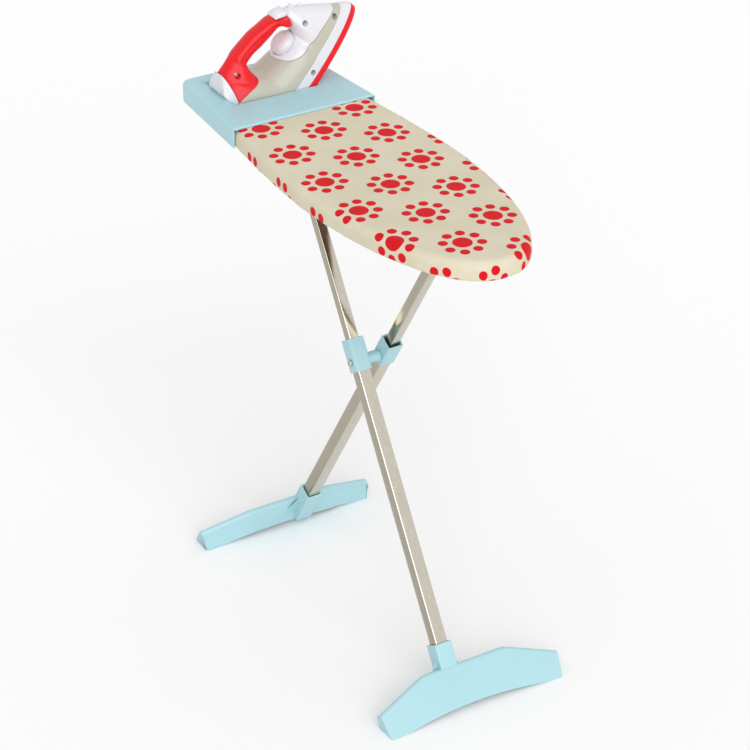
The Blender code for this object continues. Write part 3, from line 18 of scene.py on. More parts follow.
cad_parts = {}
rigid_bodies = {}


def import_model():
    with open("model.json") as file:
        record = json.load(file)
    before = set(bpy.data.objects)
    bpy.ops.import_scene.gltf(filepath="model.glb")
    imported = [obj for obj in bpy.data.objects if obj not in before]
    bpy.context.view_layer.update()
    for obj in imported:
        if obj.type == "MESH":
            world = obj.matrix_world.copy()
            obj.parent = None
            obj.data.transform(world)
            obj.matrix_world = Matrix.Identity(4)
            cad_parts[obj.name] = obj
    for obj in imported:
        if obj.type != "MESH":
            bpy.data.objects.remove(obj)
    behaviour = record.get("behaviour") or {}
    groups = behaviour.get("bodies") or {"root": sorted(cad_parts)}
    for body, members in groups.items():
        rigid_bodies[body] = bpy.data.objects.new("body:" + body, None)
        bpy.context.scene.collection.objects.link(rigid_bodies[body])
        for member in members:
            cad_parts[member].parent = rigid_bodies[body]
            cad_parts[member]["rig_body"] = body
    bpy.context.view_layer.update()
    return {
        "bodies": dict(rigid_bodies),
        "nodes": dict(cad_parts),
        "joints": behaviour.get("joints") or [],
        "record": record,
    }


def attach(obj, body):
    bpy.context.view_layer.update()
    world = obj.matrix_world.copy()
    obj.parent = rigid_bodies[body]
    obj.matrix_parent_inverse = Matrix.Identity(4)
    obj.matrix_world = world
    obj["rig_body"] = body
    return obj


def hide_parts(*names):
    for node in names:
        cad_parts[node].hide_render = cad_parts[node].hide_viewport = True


LOG = logging.getLogger("toy_ironing_board")

Flat = tuple[float, float]
Point = tuple[float, float, float]
Ring = list[Point]
Piece = bpy.types.Object
Socket = bpy.types.NodeSocket
Frame = dict[str, Any]

GAP = 0.0003  # room between neighbouring pieces
OVERRUN = 0.002  # how far a cutter runs past what it cuts
MERGE = GAP / 30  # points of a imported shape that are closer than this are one
CREASE = math.radians(35)  # an edge past this angle is sharp
FLAT_ANGLE = math.radians(1)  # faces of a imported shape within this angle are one
SMALL_SIDES = 24
ROUND_SIDES = 64
CORNER_STEPS = 8
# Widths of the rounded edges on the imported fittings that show.
EDGES: dict[str, float] = {"pivot_bolt": 0.0003, "pivot_spacer": 0.0004, "hinge_bracket": 0.0003,
                           "guide_rail": 0.0003}


class Slot(Enum):
    """The record's material slots."""

    BLUE_PLASTIC = "blue_plastic"
    DARK_PLASTIC = "dark_plastic"
    CHROME = "chrome"
    SCREW_STEEL = "screw_steel"
    ZINC = "zinc"
    HARDBOARD = "hardboard"
    FABRIC = "fabric"
    RED_PLASTIC = "red_plastic"
    WHITE_PLASTIC = "white_plastic"
    GREY_PLASTIC = "grey_plastic"


class Side(Enum):
    """The two legs, by the end of the board that their feet stand under."""

    FRONT = "front"
    BACK = "back"


# Shader graphs

def linear(code: str) -> tuple[float, float, float, float]:
    """Read a colour written as it is seen.

    Args:
        code: six hexadecimal digits after a hash sign.

    Returns:
        The same colour in linear light, with full alpha.
    """
    shares = [int(code[start:start + 2], 16) / 255 for start in (1, 3, 5)]
    red, green, blue = (s / 12.92 if s <= 0.04045 else ((s + 0.055) / 1.055) ** 2.4 for s in shares)
    return (red, green, blue, 1.0)


class Graph:
    """The node tree of a material or a world, with short calls for the nodes that the looks share."""

    def __init__(self, owner: bpy.types.Material | bpy.types.World) -> None:
        """Give the owner its node tree."""
        owner.use_nodes = True
        self.owner = owner
        self.tree = owner.node_tree

    def node(self, kind: str, values: dict[Any, Any] | None = None, **settings: Any) -> bpy.types.Node:
        """Add a node.

        Args:
            kind: Blender's name of the node's type.
            values: what its sockets hold, or the sockets that feed them.
            settings: the node's own properties.

        Returns:
            The new node.
        """
        made = self.tree.nodes.new(kind)
        for key, value in settings.items():
            setattr(made, key, value)
        for key, value in (values or {}).items():
            self.feed(made.inputs[key], value)
        return made

    def feed(self, socket: Socket, value: Any) -> None:
        """Set a socket to a value, or link it to another socket."""
        if isinstance(value, Socket):
            self.tree.links.new(value, socket)
        else:
            socket.default_value = value

    def math(self, operation: str, *terms: Any) -> Socket:
        """Work out one sum on numbers or sockets."""
        made = self.node("ShaderNodeMath", operation=operation)
        for socket, term in zip(made.inputs, terms):
            self.feed(socket, term)
        return made.outputs[0]

    def hypotenuse(self, first: Socket, second: Socket) -> Socket:
        """The long side of a right triangle."""
        squares = [self.math("POWER", self.math("ABSOLUTE", side), 2.0) for side in (first, second)]
        return self.math("SQRT", self.math("ADD", *squares))

    def parts(self, vector: Socket) -> Sequence[Socket]:
        """A vector's x, y and z."""
        return self.node("ShaderNodeSeparateXYZ", {0: vector}).outputs

    def place(self) -> Socket:
        """The point on the piece, in metres."""
        return self.node("ShaderNodeTexCoord").outputs["Object"]

    def noise(self, place: Socket, scale: float, detail: float = 3.0) -> Socket:
        """Soft random values from 0 to 1 around a half."""
        made = self.node("ShaderNodeTexNoise", {"Vector": place, "Scale": scale, "Detail": detail})
        return made.outputs["Fac"]

    def stretched_noise(self, place: Socket, scale: Point, detail: float, turn: Point = (0, 0, 0)) -> Socket:
        """Noise with a scale of its own along each axis, in a frame that may be turned."""
        made = self.node("ShaderNodeMapping", {"Vector": place, "Scale": scale, "Rotation": turn})
        return self.noise(made.outputs["Vector"], 1.0, detail)

    def ramp(self, value: Socket, low: float, high: float, start: float = 0.0, end: float = 1.0) -> Socket:
        """Carry a value from the range low to high over to the range start to end, clamped."""
        made = self.node("ShaderNodeMapRange", {"Value": value, "From Min": low, "From Max": high,
                                                "To Min": start, "To Max": end})
        return made.outputs["Result"]

    def mix(self, share: Any, first: Any, second: Any) -> Socket:
        """Blend two colours."""
        made = self.node("ShaderNodeMix", data_type="RGBA")
        for index, value in ((0, share), (6, first), (7, second)):
            self.feed(made.inputs[index], value)
        return made.outputs[2]

    def bump(self, height: Socket, distance: float, strength: float, below: Socket | None = None) -> Socket:
        """Raise the surface by a height map, over another bump if one is given."""
        values = {"Height": height, "Distance": distance, "Strength": strength}
        if below is not None:
            values["Normal"] = below
        return self.node("ShaderNodeBump", values).outputs["Normal"]

    def seen_share(self) -> Socket:
        """A socket that is 1 for rays from the camera, a mirror or glass, and 0 for the rest."""
        path = self.node("ShaderNodeLightPath")
        total = path.outputs["Is Camera Ray"]
        for name in ("Is Glossy Ray", "Is Transmission Ray"):
            total = self.math("MAXIMUM", total, path.outputs[name])
        return total

    def surface(self, shader: str = "Principled BSDF", **values: Any) -> Any:
        """Set a shader's sockets, named with underscores, and hand over the tree's owner."""
        for key, value in values.items():
            self.feed(self.tree.nodes[shader].inputs[key.replace("_", " ")], value)
        return self.owner


@dataclass(frozen=True)
class Finish:
    """What every finish has: the slot that it belongs to and its colour."""

    slot: Slot
    colour: str

    def graph(self) -> Graph:
        """Start a material named after the slot."""
        return Graph(bpy.data.materials.new(self.slot.value))

    def material(self) -> bpy.types.Material:
        """Build the finish's material."""
        raise NotImplementedError


@dataclass(frozen=True)
class MouldedPlastic(Finish):
    """Injection-moulded plastic: a fine grain, faint flow marks and handled patches."""

    shade: str = "#000000"
    roughness: float = 0.35
    grain: float = 0.25
    coat: float = 0.0
    glow: float = 0.04
    gloss: float = 0.5
    grain_depth: float = 0.00006
    ripple_depth: float = 0.0004
    glow_depth: float = 0.003

    def material(self) -> bpy.types.Material:
        """Build the finish's material."""
        graph = self.graph()
        place = graph.place()
        flow = graph.ramp(graph.noise(place, 14, 4), 0.35, 0.7, 0, 0.22)
        colour = graph.mix(flow, linear(self.colour), linear(self.shade))
        handled = graph.ramp(graph.noise(place, 55, 5), 0.3, 0.75, self.roughness - 0.05, self.roughness + 0.09)
        grain = graph.bump(graph.noise(place, 2600, 2), self.grain_depth, self.grain)
        ripple = graph.bump(graph.noise(place, 48, 1), self.ripple_depth, 0.10, grain)
        return graph.surface(Base_Color=colour, Roughness=handled, Normal=ripple, IOR=1.49,
                             Specular_IOR_Level=self.gloss, Coat_Weight=self.coat, Coat_Roughness=0.12,
                             Subsurface_Weight=self.glow, Subsurface_Radius=(self.glow_depth,) * 3)


@dataclass(frozen=True)
class PlatedTube(Finish):
    """Bright plating over a drawn tube: painted shade darkens its flanks, and faint painted reflection streaks run
    along it and also raise a faint bump.
    """

    # Colour of the painted shade on the tube's flanks.
    painted_flank_shade: str = "#9C9583"
    # Colour of the painted reflection streaks.
    light: str = "#D8D4C9"
    lean: float = math.radians(32)
    streak_scale: Point = (210, 210, 1.6)
    streak_depth: float = 0.00001

    def material(self) -> bpy.types.Material:
        """Build the finish's material."""
        graph = self.graph()
        place = graph.place()
        streaks = [graph.stretched_noise(place, self.streak_scale, 2, (0, turn, 0))
                   for turn in (self.lean, -self.lean)]
        streak = graph.math("MULTIPLY", graph.math("ADD", *streaks), 0.5)
        facing = graph.parts(graph.node("ShaderNodeTexCoord").outputs["Normal"])
        # Painted shade: faces that face along Y are darkened, as if they reflected less of the studio.
        flank_shade_share = graph.ramp(graph.math("ABSOLUTE", facing[1]), 0.75, 0.98)
        # Painted reflection: lighter streaks along the tube stand in for the studio seen in the plating.
        tone = graph.mix(graph.ramp(streak, 0.38, 0.64, 0, 0.35), linear(self.colour), linear(self.light))
        tone = graph.mix(graph.math("MULTIPLY", flank_shade_share, 0.8), tone, linear(self.painted_flank_shade))
        smear = graph.ramp(graph.noise(place, 40, 3), 0.3, 0.8, 0.10, 0.16)
        drawn = graph.bump(streak, self.streak_depth, 0.03)
        return graph.surface(Base_Color=tone, Metallic=1.0, Roughness=smear, Normal=drawn)


@dataclass(frozen=True)
class WorkedSteel(Finish):
    """Zinc-plated small fittings with a cloudy, slightly scratched surface."""

    shade: str = "#85878B"
    roughness: float = 0.32
    scratch_scale: Point = (400, 3000, 400)
    scratch_depth: float = 0.00004

    def material(self) -> bpy.types.Material:
        """Build the finish's material."""
        graph = self.graph()
        place = graph.place()
        cloud = graph.ramp(graph.noise(place, 160, 5), 0.35, 0.7)
        colour = graph.mix(cloud, linear(self.colour), linear(self.shade))
        scratch = graph.stretched_noise(place, self.scratch_scale, 3)
        rough = graph.ramp(scratch, 0.3, 0.7, self.roughness, self.roughness + 0.2)
        return graph.surface(Base_Color=colour, Metallic=1.0, Roughness=rough,
                             Normal=graph.bump(scratch, self.scratch_depth, 0.3))


@dataclass(frozen=True)
class PressedBoard(Finish):
    """Hardboard: short pressed fibres in two browns."""

    shade: str = "#4C3320"
    fibre_scale: Point = (500, 1500, 500)
    fibre_turn: Point = (0, 0, 0.4)
    fibre_depth: float = 0.0002

    def material(self) -> bpy.types.Material:
        """Build the finish's material."""
        graph = self.graph()
        place = graph.place()
        fibres = graph.stretched_noise(place, self.fibre_scale, 6, self.fibre_turn)
        share = graph.ramp(graph.math("ADD", fibres, graph.noise(place, 30, 4)), 0.7, 1.3)
        colour = graph.mix(share, linear(self.shade), linear(self.colour))
        return graph.surface(Base_Color=colour, Roughness=0.75,
                             Normal=graph.bump(fibres, self.fibre_depth, 0.4))


@dataclass(frozen=True)
class PrintedCotton(Finish):
    """Woven cotton with a printed all-over pattern of rings of dots."""

    shade: str = "#C9BF9F"
    ink: str = "#DB0A19"
    ink_shade: str = "#C90817"
    pitch: float = 0.0785  # from ring to ring in a row
    column: float = 0.06025  # from row to row
    start: Flat = (-0.1236, -0.0634)  # the middle of one ring
    turn: float = math.radians(-2.55)
    disc_radius: float = 0.0109
    dot_radius: float = 0.0055
    dot_ring: float = 0.0208
    dots: int = 8
    dot_phase: float = math.radians(22.6)
    edge: float = 0.0003
    thread: float = 0.0007
    thread_depth: float = 0.00008
    slub: str = "#E3DBC6"
    slub_scale: Point = (60, 900, 1)
    pull_scale: Point = (22, 30, 1)
    pull_depth: float = 0.0012
    attribute: str = "flat_place"

    def pattern(self, graph: Graph, flat: Socket) -> Socket:
        """Share of ink at a place on the cloth laid flat.

        Args:
            graph: the material's graph.
            flat: socket with the place on the flat cloth, in metres.

        Returns:
            A socket that is 1 on the printed dots and 0 between them.
        """
        sum_of = graph.math
        x, y = (sum_of("SUBTRACT", graph.parts(flat)[axis], self.start[axis]) for axis in (0, 1))
        cos, sin = math.cos(self.turn), math.sin(self.turn)
        along = sum_of("ADD", sum_of("MULTIPLY", x, cos), sum_of("MULTIPLY", y, sin))
        across = sum_of("SUBTRACT", sum_of("MULTIPLY", y, cos), sum_of("MULTIPLY", x, sin))
        row = sum_of("DIVIDE", across, self.column)
        column = sum_of("ROUND", row)
        offset = sum_of("MULTIPLY", sum_of("FLOORED_MODULO", column, 2.0), 0.5)
        step = sum_of("SUBTRACT", sum_of("DIVIDE", along, self.pitch), offset)
        u = sum_of("MULTIPLY", sum_of("SUBTRACT", step, sum_of("ROUND", step)), self.pitch)
        v = sum_of("MULTIPLY", sum_of("SUBTRACT", row, column), self.column)
        reach = graph.hypotenuse(u, v)
        disc = graph.ramp(reach, self.disc_radius + self.edge, self.disc_radius - self.edge)
        slice_angle = 2 * math.pi / self.dots
        angle = sum_of("SUBTRACT", sum_of("ARCTAN2", v, u), self.dot_phase)
        sector = sum_of("ROUND", sum_of("DIVIDE", angle, slice_angle))
        rest = sum_of("SUBTRACT", angle, sum_of("MULTIPLY", sector, slice_angle))
        near = sum_of("SUBTRACT", sum_of("MULTIPLY", reach, sum_of("COSINE", rest)), self.dot_ring)
        aside = sum_of("MULTIPLY", reach, sum_of("SINE", rest))
        away = graph.hypotenuse(near, aside)
        dot = graph.ramp(away, self.dot_radius + self.edge, self.dot_radius - self.edge)
        return sum_of("MAXIMUM", disc, dot)

    def material(self) -> bpy.types.Material:
        """Build the finish's material."""
        graph = self.graph()
        flat = graph.node("ShaderNodeAttribute", attribute_name=self.attribute).outputs["Vector"]
        waves = [graph.math("SINE", graph.math("MULTIPLY", graph.parts(flat)[axis], 2 * math.pi / self.thread))
                 for axis in (0, 1)]
        slub = graph.stretched_noise(flat, self.slub_scale, 3)
        cloud = graph.noise(flat, 18, 4)
        cloth = graph.mix(graph.ramp(cloud, 0.35, 0.7, 0, 0.45), linear(self.colour), linear(self.shade))
        cloth = graph.mix(graph.ramp(slub, 0.5, 0.8, 0, 0.25), cloth, linear(self.slub))
        ink = graph.mix(graph.ramp(slub, 0.35, 0.7), linear(self.ink), linear(self.ink_shade))
        colour = graph.mix(self.pattern(graph, flat), cloth, ink)
        weave = graph.bump(graph.math("MULTIPLY", *waves), self.thread_depth, 0.35)
        pull = graph.bump(graph.stretched_noise(flat, self.pull_scale, 2), self.pull_depth, 0.35, weave)
        return graph.surface(Base_Color=colour, Roughness=0.85, Normal=pull, Specular_IOR_Level=0.2,
                             Sheen_Weight=0.05, Sheen_Roughness=0.5)


FINISHES: dict[Slot, Finish] = {finish.slot: finish for finish in (
    MouldedPlastic(Slot.BLUE_PLASTIC, "#A9D1D9", "#9FC9D2", roughness=0.38, grain=0.2),
    MouldedPlastic(Slot.DARK_PLASTIC, "#26272A", "#1B1C1F", roughness=0.45, grain=0.4),
    PlatedTube(Slot.CHROME, "#C6C0B2"),
    WorkedSteel(Slot.SCREW_STEEL, "#BFC1C4", roughness=0.25),
    WorkedSteel(Slot.ZINC, "#B5B9BD", roughness=0.38),
    PressedBoard(Slot.HARDBOARD, "#7A5536"),
    PrintedCotton(Slot.FABRIC, "#DAD2BB"),
    MouldedPlastic(Slot.RED_PLASTIC, "#E20A1A", "#D20818", roughness=0.26, grain=0.1, glow=0.0, gloss=0.35),
    MouldedPlastic(Slot.WHITE_PLASTIC, "#DDDCE1", "#D4D3DA", roughness=0.24, grain=0.1, coat=0.25),
    MouldedPlastic(Slot.GREY_PLASTIC, "#B9B7A9", "#AFAC9D", roughness=0.3, grain=0.15, coat=0.2))}


# Meshes

def linked(name: str, data: bpy.types.ID) -> Piece:
    """Put an object with that data into the scene."""
    made = bpy.data.objects.new(name, data)
    bpy.context.scene.collection.objects.link(made)
    return made


def new_piece(name: str, vertices: Sequence[Sequence[float]], faces: Sequence[Sequence[int]]) -> Piece:
    """Make an object from points and faces, with its faces turned out.

    Args:
        name: the object's name.
        vertices: the points.
        faces: the points' numbers round each face.

    Returns:
        The object, linked to the scene.
    """
    mesh = bpy.data.meshes.new(name)
    mesh.from_pydata([tuple(point) for point in vertices], [], [tuple(face) for face in faces])
    work = bmesh.new()
    work.from_mesh(mesh)
    bmesh.ops.recalc_face_normals(work, faces=work.faces)
    work.to_mesh(mesh)
    work.free()
    return linked(name, mesh)


def bands(rings: int, count: int, closed: bool = False) -> list[tuple[int, ...]]:
    """Faces between neighbouring rings of points.

    Args:
        rings: how many rings there are.
        count: how many points each has.
        closed: whether faces also join the last ring to the first.

    Returns:
        The points' numbers round each face.
    """
    faces = []
    for low in range(rings if closed else rings - 1):
        high = (low + 1) % rings
        for step in range(count):
            after = (step + 1) % count
            faces.append((low * count + step, low * count + after, high * count + after, high * count + step))
    return faces


def lofted(name: str, rings: Sequence[Sequence[Sequence[float]]], closed: bool = False) -> Piece:
    """Skin a row of rings with equal counts; the ends are capped, or joined if closed."""
    count = len(rings[0])
    vertices = [point for ring in rings for point in ring]
    faces = bands(len(rings), count, closed)
    if not closed:
        faces += [tuple(range(count)), tuple(range(len(vertices) - count, len(vertices)))]
    return new_piece(name, vertices, faces)


def in_plane(point: Sequence[float], height: float, axis: str) -> Point:
    """Lift a flat point to a height along the axis."""
    a, b = point
    return {"X": (height, a, b), "Y": (a, height, b), "Z": (a, b, height)}[axis]


def prism(name: str, outline: Sequence[Sequence[float]], low: float, high: float, axis: str = "Z") -> Piece:
    """Extrude a flat outline from low to high along the axis."""
    return lofted(name, [[in_plane(point, height, axis) for point in outline] for height in (low, high)])


def circle(radius: float, sides: int, centre: Flat = (0, 0)) -> list[Flat]:
    """Points round a circle."""
    turns = [2 * math.pi * step / sides for step in range(sides)]
    return [(centre[0] + radius * math.cos(turn), centre[1] + radius * math.sin(turn)) for turn in turns]


def rod(name: str, radius: float, low: float, high: float, axis: str = "Z", centre: Flat = (0, 0),
        sides: int = SMALL_SIDES) -> Piece:
    """A round bar along an axis."""
    return prism(name, circle(radius, sides, centre), low, high, axis)


def turned(name: str, profile: Sequence[Flat], sides: int = ROUND_SIDES) -> Piece:
    """Solid of revolution about Z from pairs of radius and height."""
    return lofted(name, [[(x, y, height) for x, y in circle(radius, sides)] for radius, height in profile])


def box(low: Flat, high: Flat) -> list[Flat]:
    """Corners of a rectangle, counter-clockwise from its low corner."""
    return [low, (high[0], low[1]), high, (low[0], high[1])]


def rounded(corners: Sequence[Flat], radii: Sequence[float], steps: int = CORNER_STEPS) -> list[Vector]:
    """Round the corners of a counter-clockwise outline.

    Args:
        corners: the outline's corners.
        radii: a radius for each corner, or 0 to keep it sharp.
        steps: how many steps make a round corner.

    Returns:
        The points of the rounded outline.
    """
    points = []
    for index, radius in enumerate(radii):
        here = Vector(corners[index])
        first = (here - Vector(corners[index - 1])).normalized()
        second = (Vector(corners[(index + 1) % len(corners)]) - here).normalized()
        if radius == 0:
            points.append(here)
            continue
        turn = math.atan2(first.x * second.y - first.y * second.x, first.dot(second))
        inward = Vector((-first.y, first.x))
        centre = here - first * radius * math.tan(turn / 2) + inward * radius
        for step in range(steps + 1):
            points.append(centre - Matrix.Rotation(turn * step / steps, 2) @ inward * radius)
    return points


def rounded_square(size: float, radius: float) -> list[Vector]:
    """A square outline with round corners."""
    half = size / 2
    return rounded(box((-half, -half), (half, half)), [radius] * 4)


def inset(outline: Sequence[Sequence[float]], distance: float) -> list[Vector]:
    """Move a counter-clockwise outline inwards."""
    moved = []
    for index, point in enumerate(outline):
        here = Vector(point)
        first = (here - Vector(outline[index - 1])).normalized()
        second = (Vector(outline[(index + 1) % len(outline)]) - here).normalized()
        inward = Vector((-first.y, first.x))
        bisector = (inward + Vector((-second.y, second.x))).normalized()
        moved.append(here + bisector * distance / bisector.dot(inward))
    return moved


def quarter(steps: int) -> list[float]:
    """Even turns from 0 to a right angle."""
    return [math.pi / 2 * step / steps for step in range(steps + 1)]


def quarter_round(radius: float, top: float, steps: int = CORNER_STEPS) -> list[Flat]:
    """Pairs of inset and height round a top edge, from its side to its top."""
    return [(radius * (1 - math.cos(turn)), top - radius * (1 - math.sin(turn))) for turn in quarter(steps)]


def combine(piece: Piece, tool: Piece, operation: str) -> Piece:
    """Apply a Boolean and throw the tool away."""
    modifier = piece.modifiers.new("combine", "BOOLEAN")
    modifier.operation = operation
    modifier.solver = "EXACT"
    modifier.object = tool
    graph = bpy.context.evaluated_depsgraph_get()
    result = bpy.data.meshes.new_from_object(piece.evaluated_get(graph))
    piece.modifiers.clear()
    piece.data = result
    bpy.data.objects.remove(tool, do_unlink=True)
    return piece


def cut(piece: Piece, *tools: Piece) -> Piece:
    """Take the tools out of the piece."""
    for tool in tools:
        combine(piece, tool, "DIFFERENCE")
    return piece


def join(piece: Piece, *tools: Piece) -> Piece:
    """Fuse the tools to the piece."""
    for tool in tools:
        combine(piece, tool, "UNION")
    return piece


def keep(piece: Piece, tool: Piece) -> Piece:
    """Keep what lies inside the tool."""
    return combine(piece, tool, "INTERSECT")


def own_copy(source: Piece, name: str) -> Piece:
    """A copy with a mesh of its own."""
    return linked(name, source.data.copy())


def soften(piece: Piece, width: float, steps: int = 3) -> Piece:
    """Round the piece's sharp edges."""
    bevel = piece.modifiers.new("round_edges", "BEVEL")
    bevel.width = width
    bevel.segments = steps
    bevel.limit_method = "ANGLE"
    bevel.angle_limit = CREASE
    bevel.use_clamp_overlap = False
    bevel.harden_normals = True
    return piece


def flowing(points: Sequence[Flat]) -> Callable[[float], float]:
    """A smooth line through points that never overshoots them.

    Args:
        points: pairs of place and value, with rising places.

    Returns:
        A function from a place to the line's value there.
    """
    places, values = (np.array(column, float) for column in zip(*points))
    spans = np.diff(places)
    rises = np.diff(values) / spans
    slopes = np.zeros(len(places))
    slopes[0], slopes[-1] = rises[0], rises[-1]
    for index in range(1, len(places) - 1):
        if rises[index - 1] * rises[index] > 0:
            slopes[index] = 2 / (1 / rises[index - 1] + 1 / rises[index])

    def read(place: float) -> float:
        """The line's value at a place."""
        index = int(np.clip(np.searchsorted(places, place) - 1, 0, len(spans) - 1))
        share = float(np.clip((place - places[index]) / spans[index], 0, 1))
        square, cube = share ** 2, share ** 3
        return float(values[index] * (2 * cube - 3 * square + 1) + values[index + 1] * (3 * square - 2 * cube)
                     + spans[index] * (slopes[index] * (cube - 2 * square + share)
                                       + slopes[index + 1] * (cube - square)))

    return read


# Dressing the frame

@dataclass
class Wardrobe:
    """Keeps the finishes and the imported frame, and hands finished pieces to their bodies."""

    frame: Frame
    materials: dict[Slot, bpy.types.Material] = field(init=False)
    slots: dict[str, Slot] = field(init=False, default_factory=dict)
    stood_for: set[str] = field(init=False, default_factory=set)

    def __post_init__(self) -> None:
        """Build the materials and read which node has which slot."""
        self.materials = {slot: finish.material() for slot, finish in FINISHES.items()}
        for row in self.frame["record"]["subparts"]:
            if row["material_slot"] in {slot.value for slot in Slot}:
                self.slots[row["node"]] = Slot(row["material_slot"])

    def dress(self, piece: Piece, *nodes: str, crease: float = CREASE) -> Piece:
        """Shade a piece, give it its finish and let it stand for its nodes.

        Args:
            piece: the new piece, in its place.
            nodes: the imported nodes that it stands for; the first one gives its body and slot.
            crease: the angle past which an edge is sharp.

        Returns:
            The same piece.
        """
        slot = self.slots[nodes[0]]
        piece.data.name = piece.name
        piece.data.materials.clear()
        piece.data.materials.append(self.materials[slot])
        piece.data.shade_smooth()
        piece.data.set_sharp_from_angle(angle=crease)
        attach(piece, self.frame["nodes"][nodes[0]]["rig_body"])
        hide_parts(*nodes)
        self.stood_for.update(nodes)
        LOG.info("%s stands for %s in %s", piece.name, ", ".join(nodes), slot.value)
        return piece

    def refine(self, node: str, width: float) -> Piece:
        """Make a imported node's shape again with merged points, smooth sides and round edges.

        Args:
            node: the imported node.
            width: the width of the rounded edges, or 0 to leave them sharp.

        Returns:
            The new piece.
        """
        work = bmesh.new()
        work.from_mesh(self.frame["nodes"][node].data)
        bmesh.ops.remove_doubles(work, verts=work.verts, dist=MERGE)
        bmesh.ops.dissolve_limit(work, angle_limit=FLAT_ANGLE, verts=work.verts, edges=work.edges)
        work.verts.index_update()
        piece = new_piece(f"{node}_part", [vertex.co.copy() for vertex in work.verts],
                          [[vertex.index for vertex in face.verts] for face in work.faces])
        work.free()
        if width > 0:
            soften(piece, width)
        return self.dress(piece, node)


# Padded board

@dataclass
class PaddedCover:
    """Cotton cover over foam, rolled over the deck's edge and turned in below it."""

    wardrobe: Wardrobe
    nose_x: float = 0.2875
    widest_x: float = 0.0265
    tray_front_x: float = -0.1335
    tray_back_x: float = -0.2875
    tail_x: float = -0.1795
    open_end_x: float = -0.1663
    half_width: float = 0.103
    tray_half_widths: Flat = (0.083, 0.0946)
    tray_wall: float = 0.0025
    tray_gap: float = 0.001
    nose_fullness: float = 0.45
    tail_curve: float = 1.5
    top: float = 0.600
    bottom: float = 0.578
    roll: float = 0.010
    hem_roll: float = 0.003
    hem_width: float = 0.012
    cloth: float = 0.0012
    deck_top: float = 0.5885
    crown: float = 0.0012
    softness: float = 0.0005
    soft_waves: Point = (26, 34, 1.7)  # waves per metre along x and y, and a seed
    pucker: float = 0.0009
    sag: float = 0.0006
    # Waves per metre round the edge and down the side, a seed, and a weight.
    folds: tuple[tuple[float, float, float, float], ...] = ((95, 25, 4.2, 1.0), (240, 18, 9.1, 0.6))
    fold_lift: float = 0.35
    tension: Flat = (0.55, 0.45)  # strength of the puckers, and what the nose adds to it
    gather: Point = (0.5, 0.6, 1.5)  # start in shares of the roll, span in shares of the cloth, power
    free_run: float = 0.03
    top_start: float = 0.002
    side_start: float = 0.004
    spine_margins: Flat = (0.05, 0.095)  # from the tail and from the nose
    samples: int = 400
    side_count: int = 130
    rows: int = 30
    row_power: float = 0.8
    roll_steps: int = 10
    side_steps: int = 6
    hem_roll_steps: int = 5
    hem_steps: int = 4
    cavity_shares: Point = (0.66, 0.33, 0)
    tolerance: float = 1e-6
    crease: float = math.radians(60)

    def half_at(self, x: float) -> float:
        """Half the board's width at x."""
        share = (min(x, self.tray_front_x) - self.tray_back_x) / (self.tray_front_x - self.tray_back_x)
        low, high = self.tray_half_widths
        tail = low + (high - low) * share - self.tray_wall - self.tray_gap
        if x <= self.tray_front_x:
            return tail
        if x <= self.widest_x:
            share = (self.widest_x - x) / (self.widest_x - self.tray_front_x)
            return self.half_width - (self.half_width - tail) * share ** self.tail_curve
        share = min((x - self.widest_x) / (self.nose_x - self.widest_x), 1)
        return self.half_width * (1 - share ** 2) ** self.nose_fullness

    def outline(self) -> tuple[np.ndarray, np.ndarray]:
        """The board's edge, at even steps round it.

        Returns:
            The points, counter-clockwise, and the outward direction at each.
        """
        turns = np.linspace(0, math.pi / 2, self.samples)
        xs = np.concatenate([np.linspace(self.tail_x, self.widest_x, self.samples)[:-1],
                             self.widest_x + (self.nose_x - self.widest_x) * np.sin(turns)])
        ys = np.array([self.half_at(x) for x in xs])
        ys[-1] = 0
        length = np.concatenate([[0], np.cumsum(np.hypot(np.diff(xs), np.diff(ys)))])
        even = np.linspace(0, length[-1], self.side_count)
        side = np.stack([np.interp(even, length, xs), np.interp(even, length, ys)], 1)
        points = np.concatenate([side * (1, -1), side[-2::-1]])
        ahead = np.roll(points, -1, 0) - points
        behind = points - np.roll(points, 1, 0)
        ahead[-1], behind[0] = behind[-1], ahead[0]
        along = sum(run / np.linalg.norm(run, axis=1)[:, None] for run in (ahead, behind))
        along /= np.linalg.norm(along, axis=1)[:, None]
        return points, np.stack([along[:, 1], -along[:, 0]], 1)

    def section(self) -> Ring:
        """Inset, height and length of cloth from the edge of the flat top, down to the hem."""
        rows = []
        for turn in quarter(self.roll_steps)[1:]:
            rows.append((self.roll * (1 - math.sin(turn)), self.top - self.roll * (1 - math.cos(turn)),
                         self.roll * turn))
        run, low = rows[-1][2], self.bottom + self.hem_roll
        side = self.top - self.roll - low
        for step in range(1, self.side_steps + 1):
            fall = side * step / self.side_steps
            rows.append((0.0, self.top - self.roll - fall, run + fall))
        run += side
        for turn in quarter(self.hem_roll_steps)[1:]:
            rows.append((self.hem_roll * (1 - math.cos(turn)), low - self.hem_roll * math.sin(turn),
                         run + self.hem_roll * turn))
        run = rows[-1][2]
        for step in range(1, self.hem_steps + 1):
            reach = (self.hem_width - self.hem_roll) * step / self.hem_steps
            rows.append((self.hem_roll + reach, self.bottom, run + reach))
        return rows

    def free_share(self, x: np.ndarray, start: float) -> np.ndarray:
        """How free the cloth is at x: 0 up to the start past the tray's edge, and 1 past the free run."""
        return np.clip((x - self.tray_front_x - start) / self.free_run, 0, 1)

    def rings(self) -> tuple[list[np.ndarray], list[np.ndarray]]:
        """The cover's rings: its top from the spine out, its puckered side, its hem and the deck's room.

        Returns:
            The points of each ring, and their places on the cloth laid flat.
        """
        points, outward = self.outline()
        count = len(points)
        rim = points - outward * self.roll
        tail, nose = self.tail_x + self.spine_margins[0], self.nose_x - self.spine_margins[1]
        spine = np.stack([np.clip(rim[:, 0], tail, nose), np.zeros(count)], 1)
        length = np.concatenate([[0], np.cumsum(np.linalg.norm(np.diff(points, axis=0), axis=1))])
        rings, flats = [], []

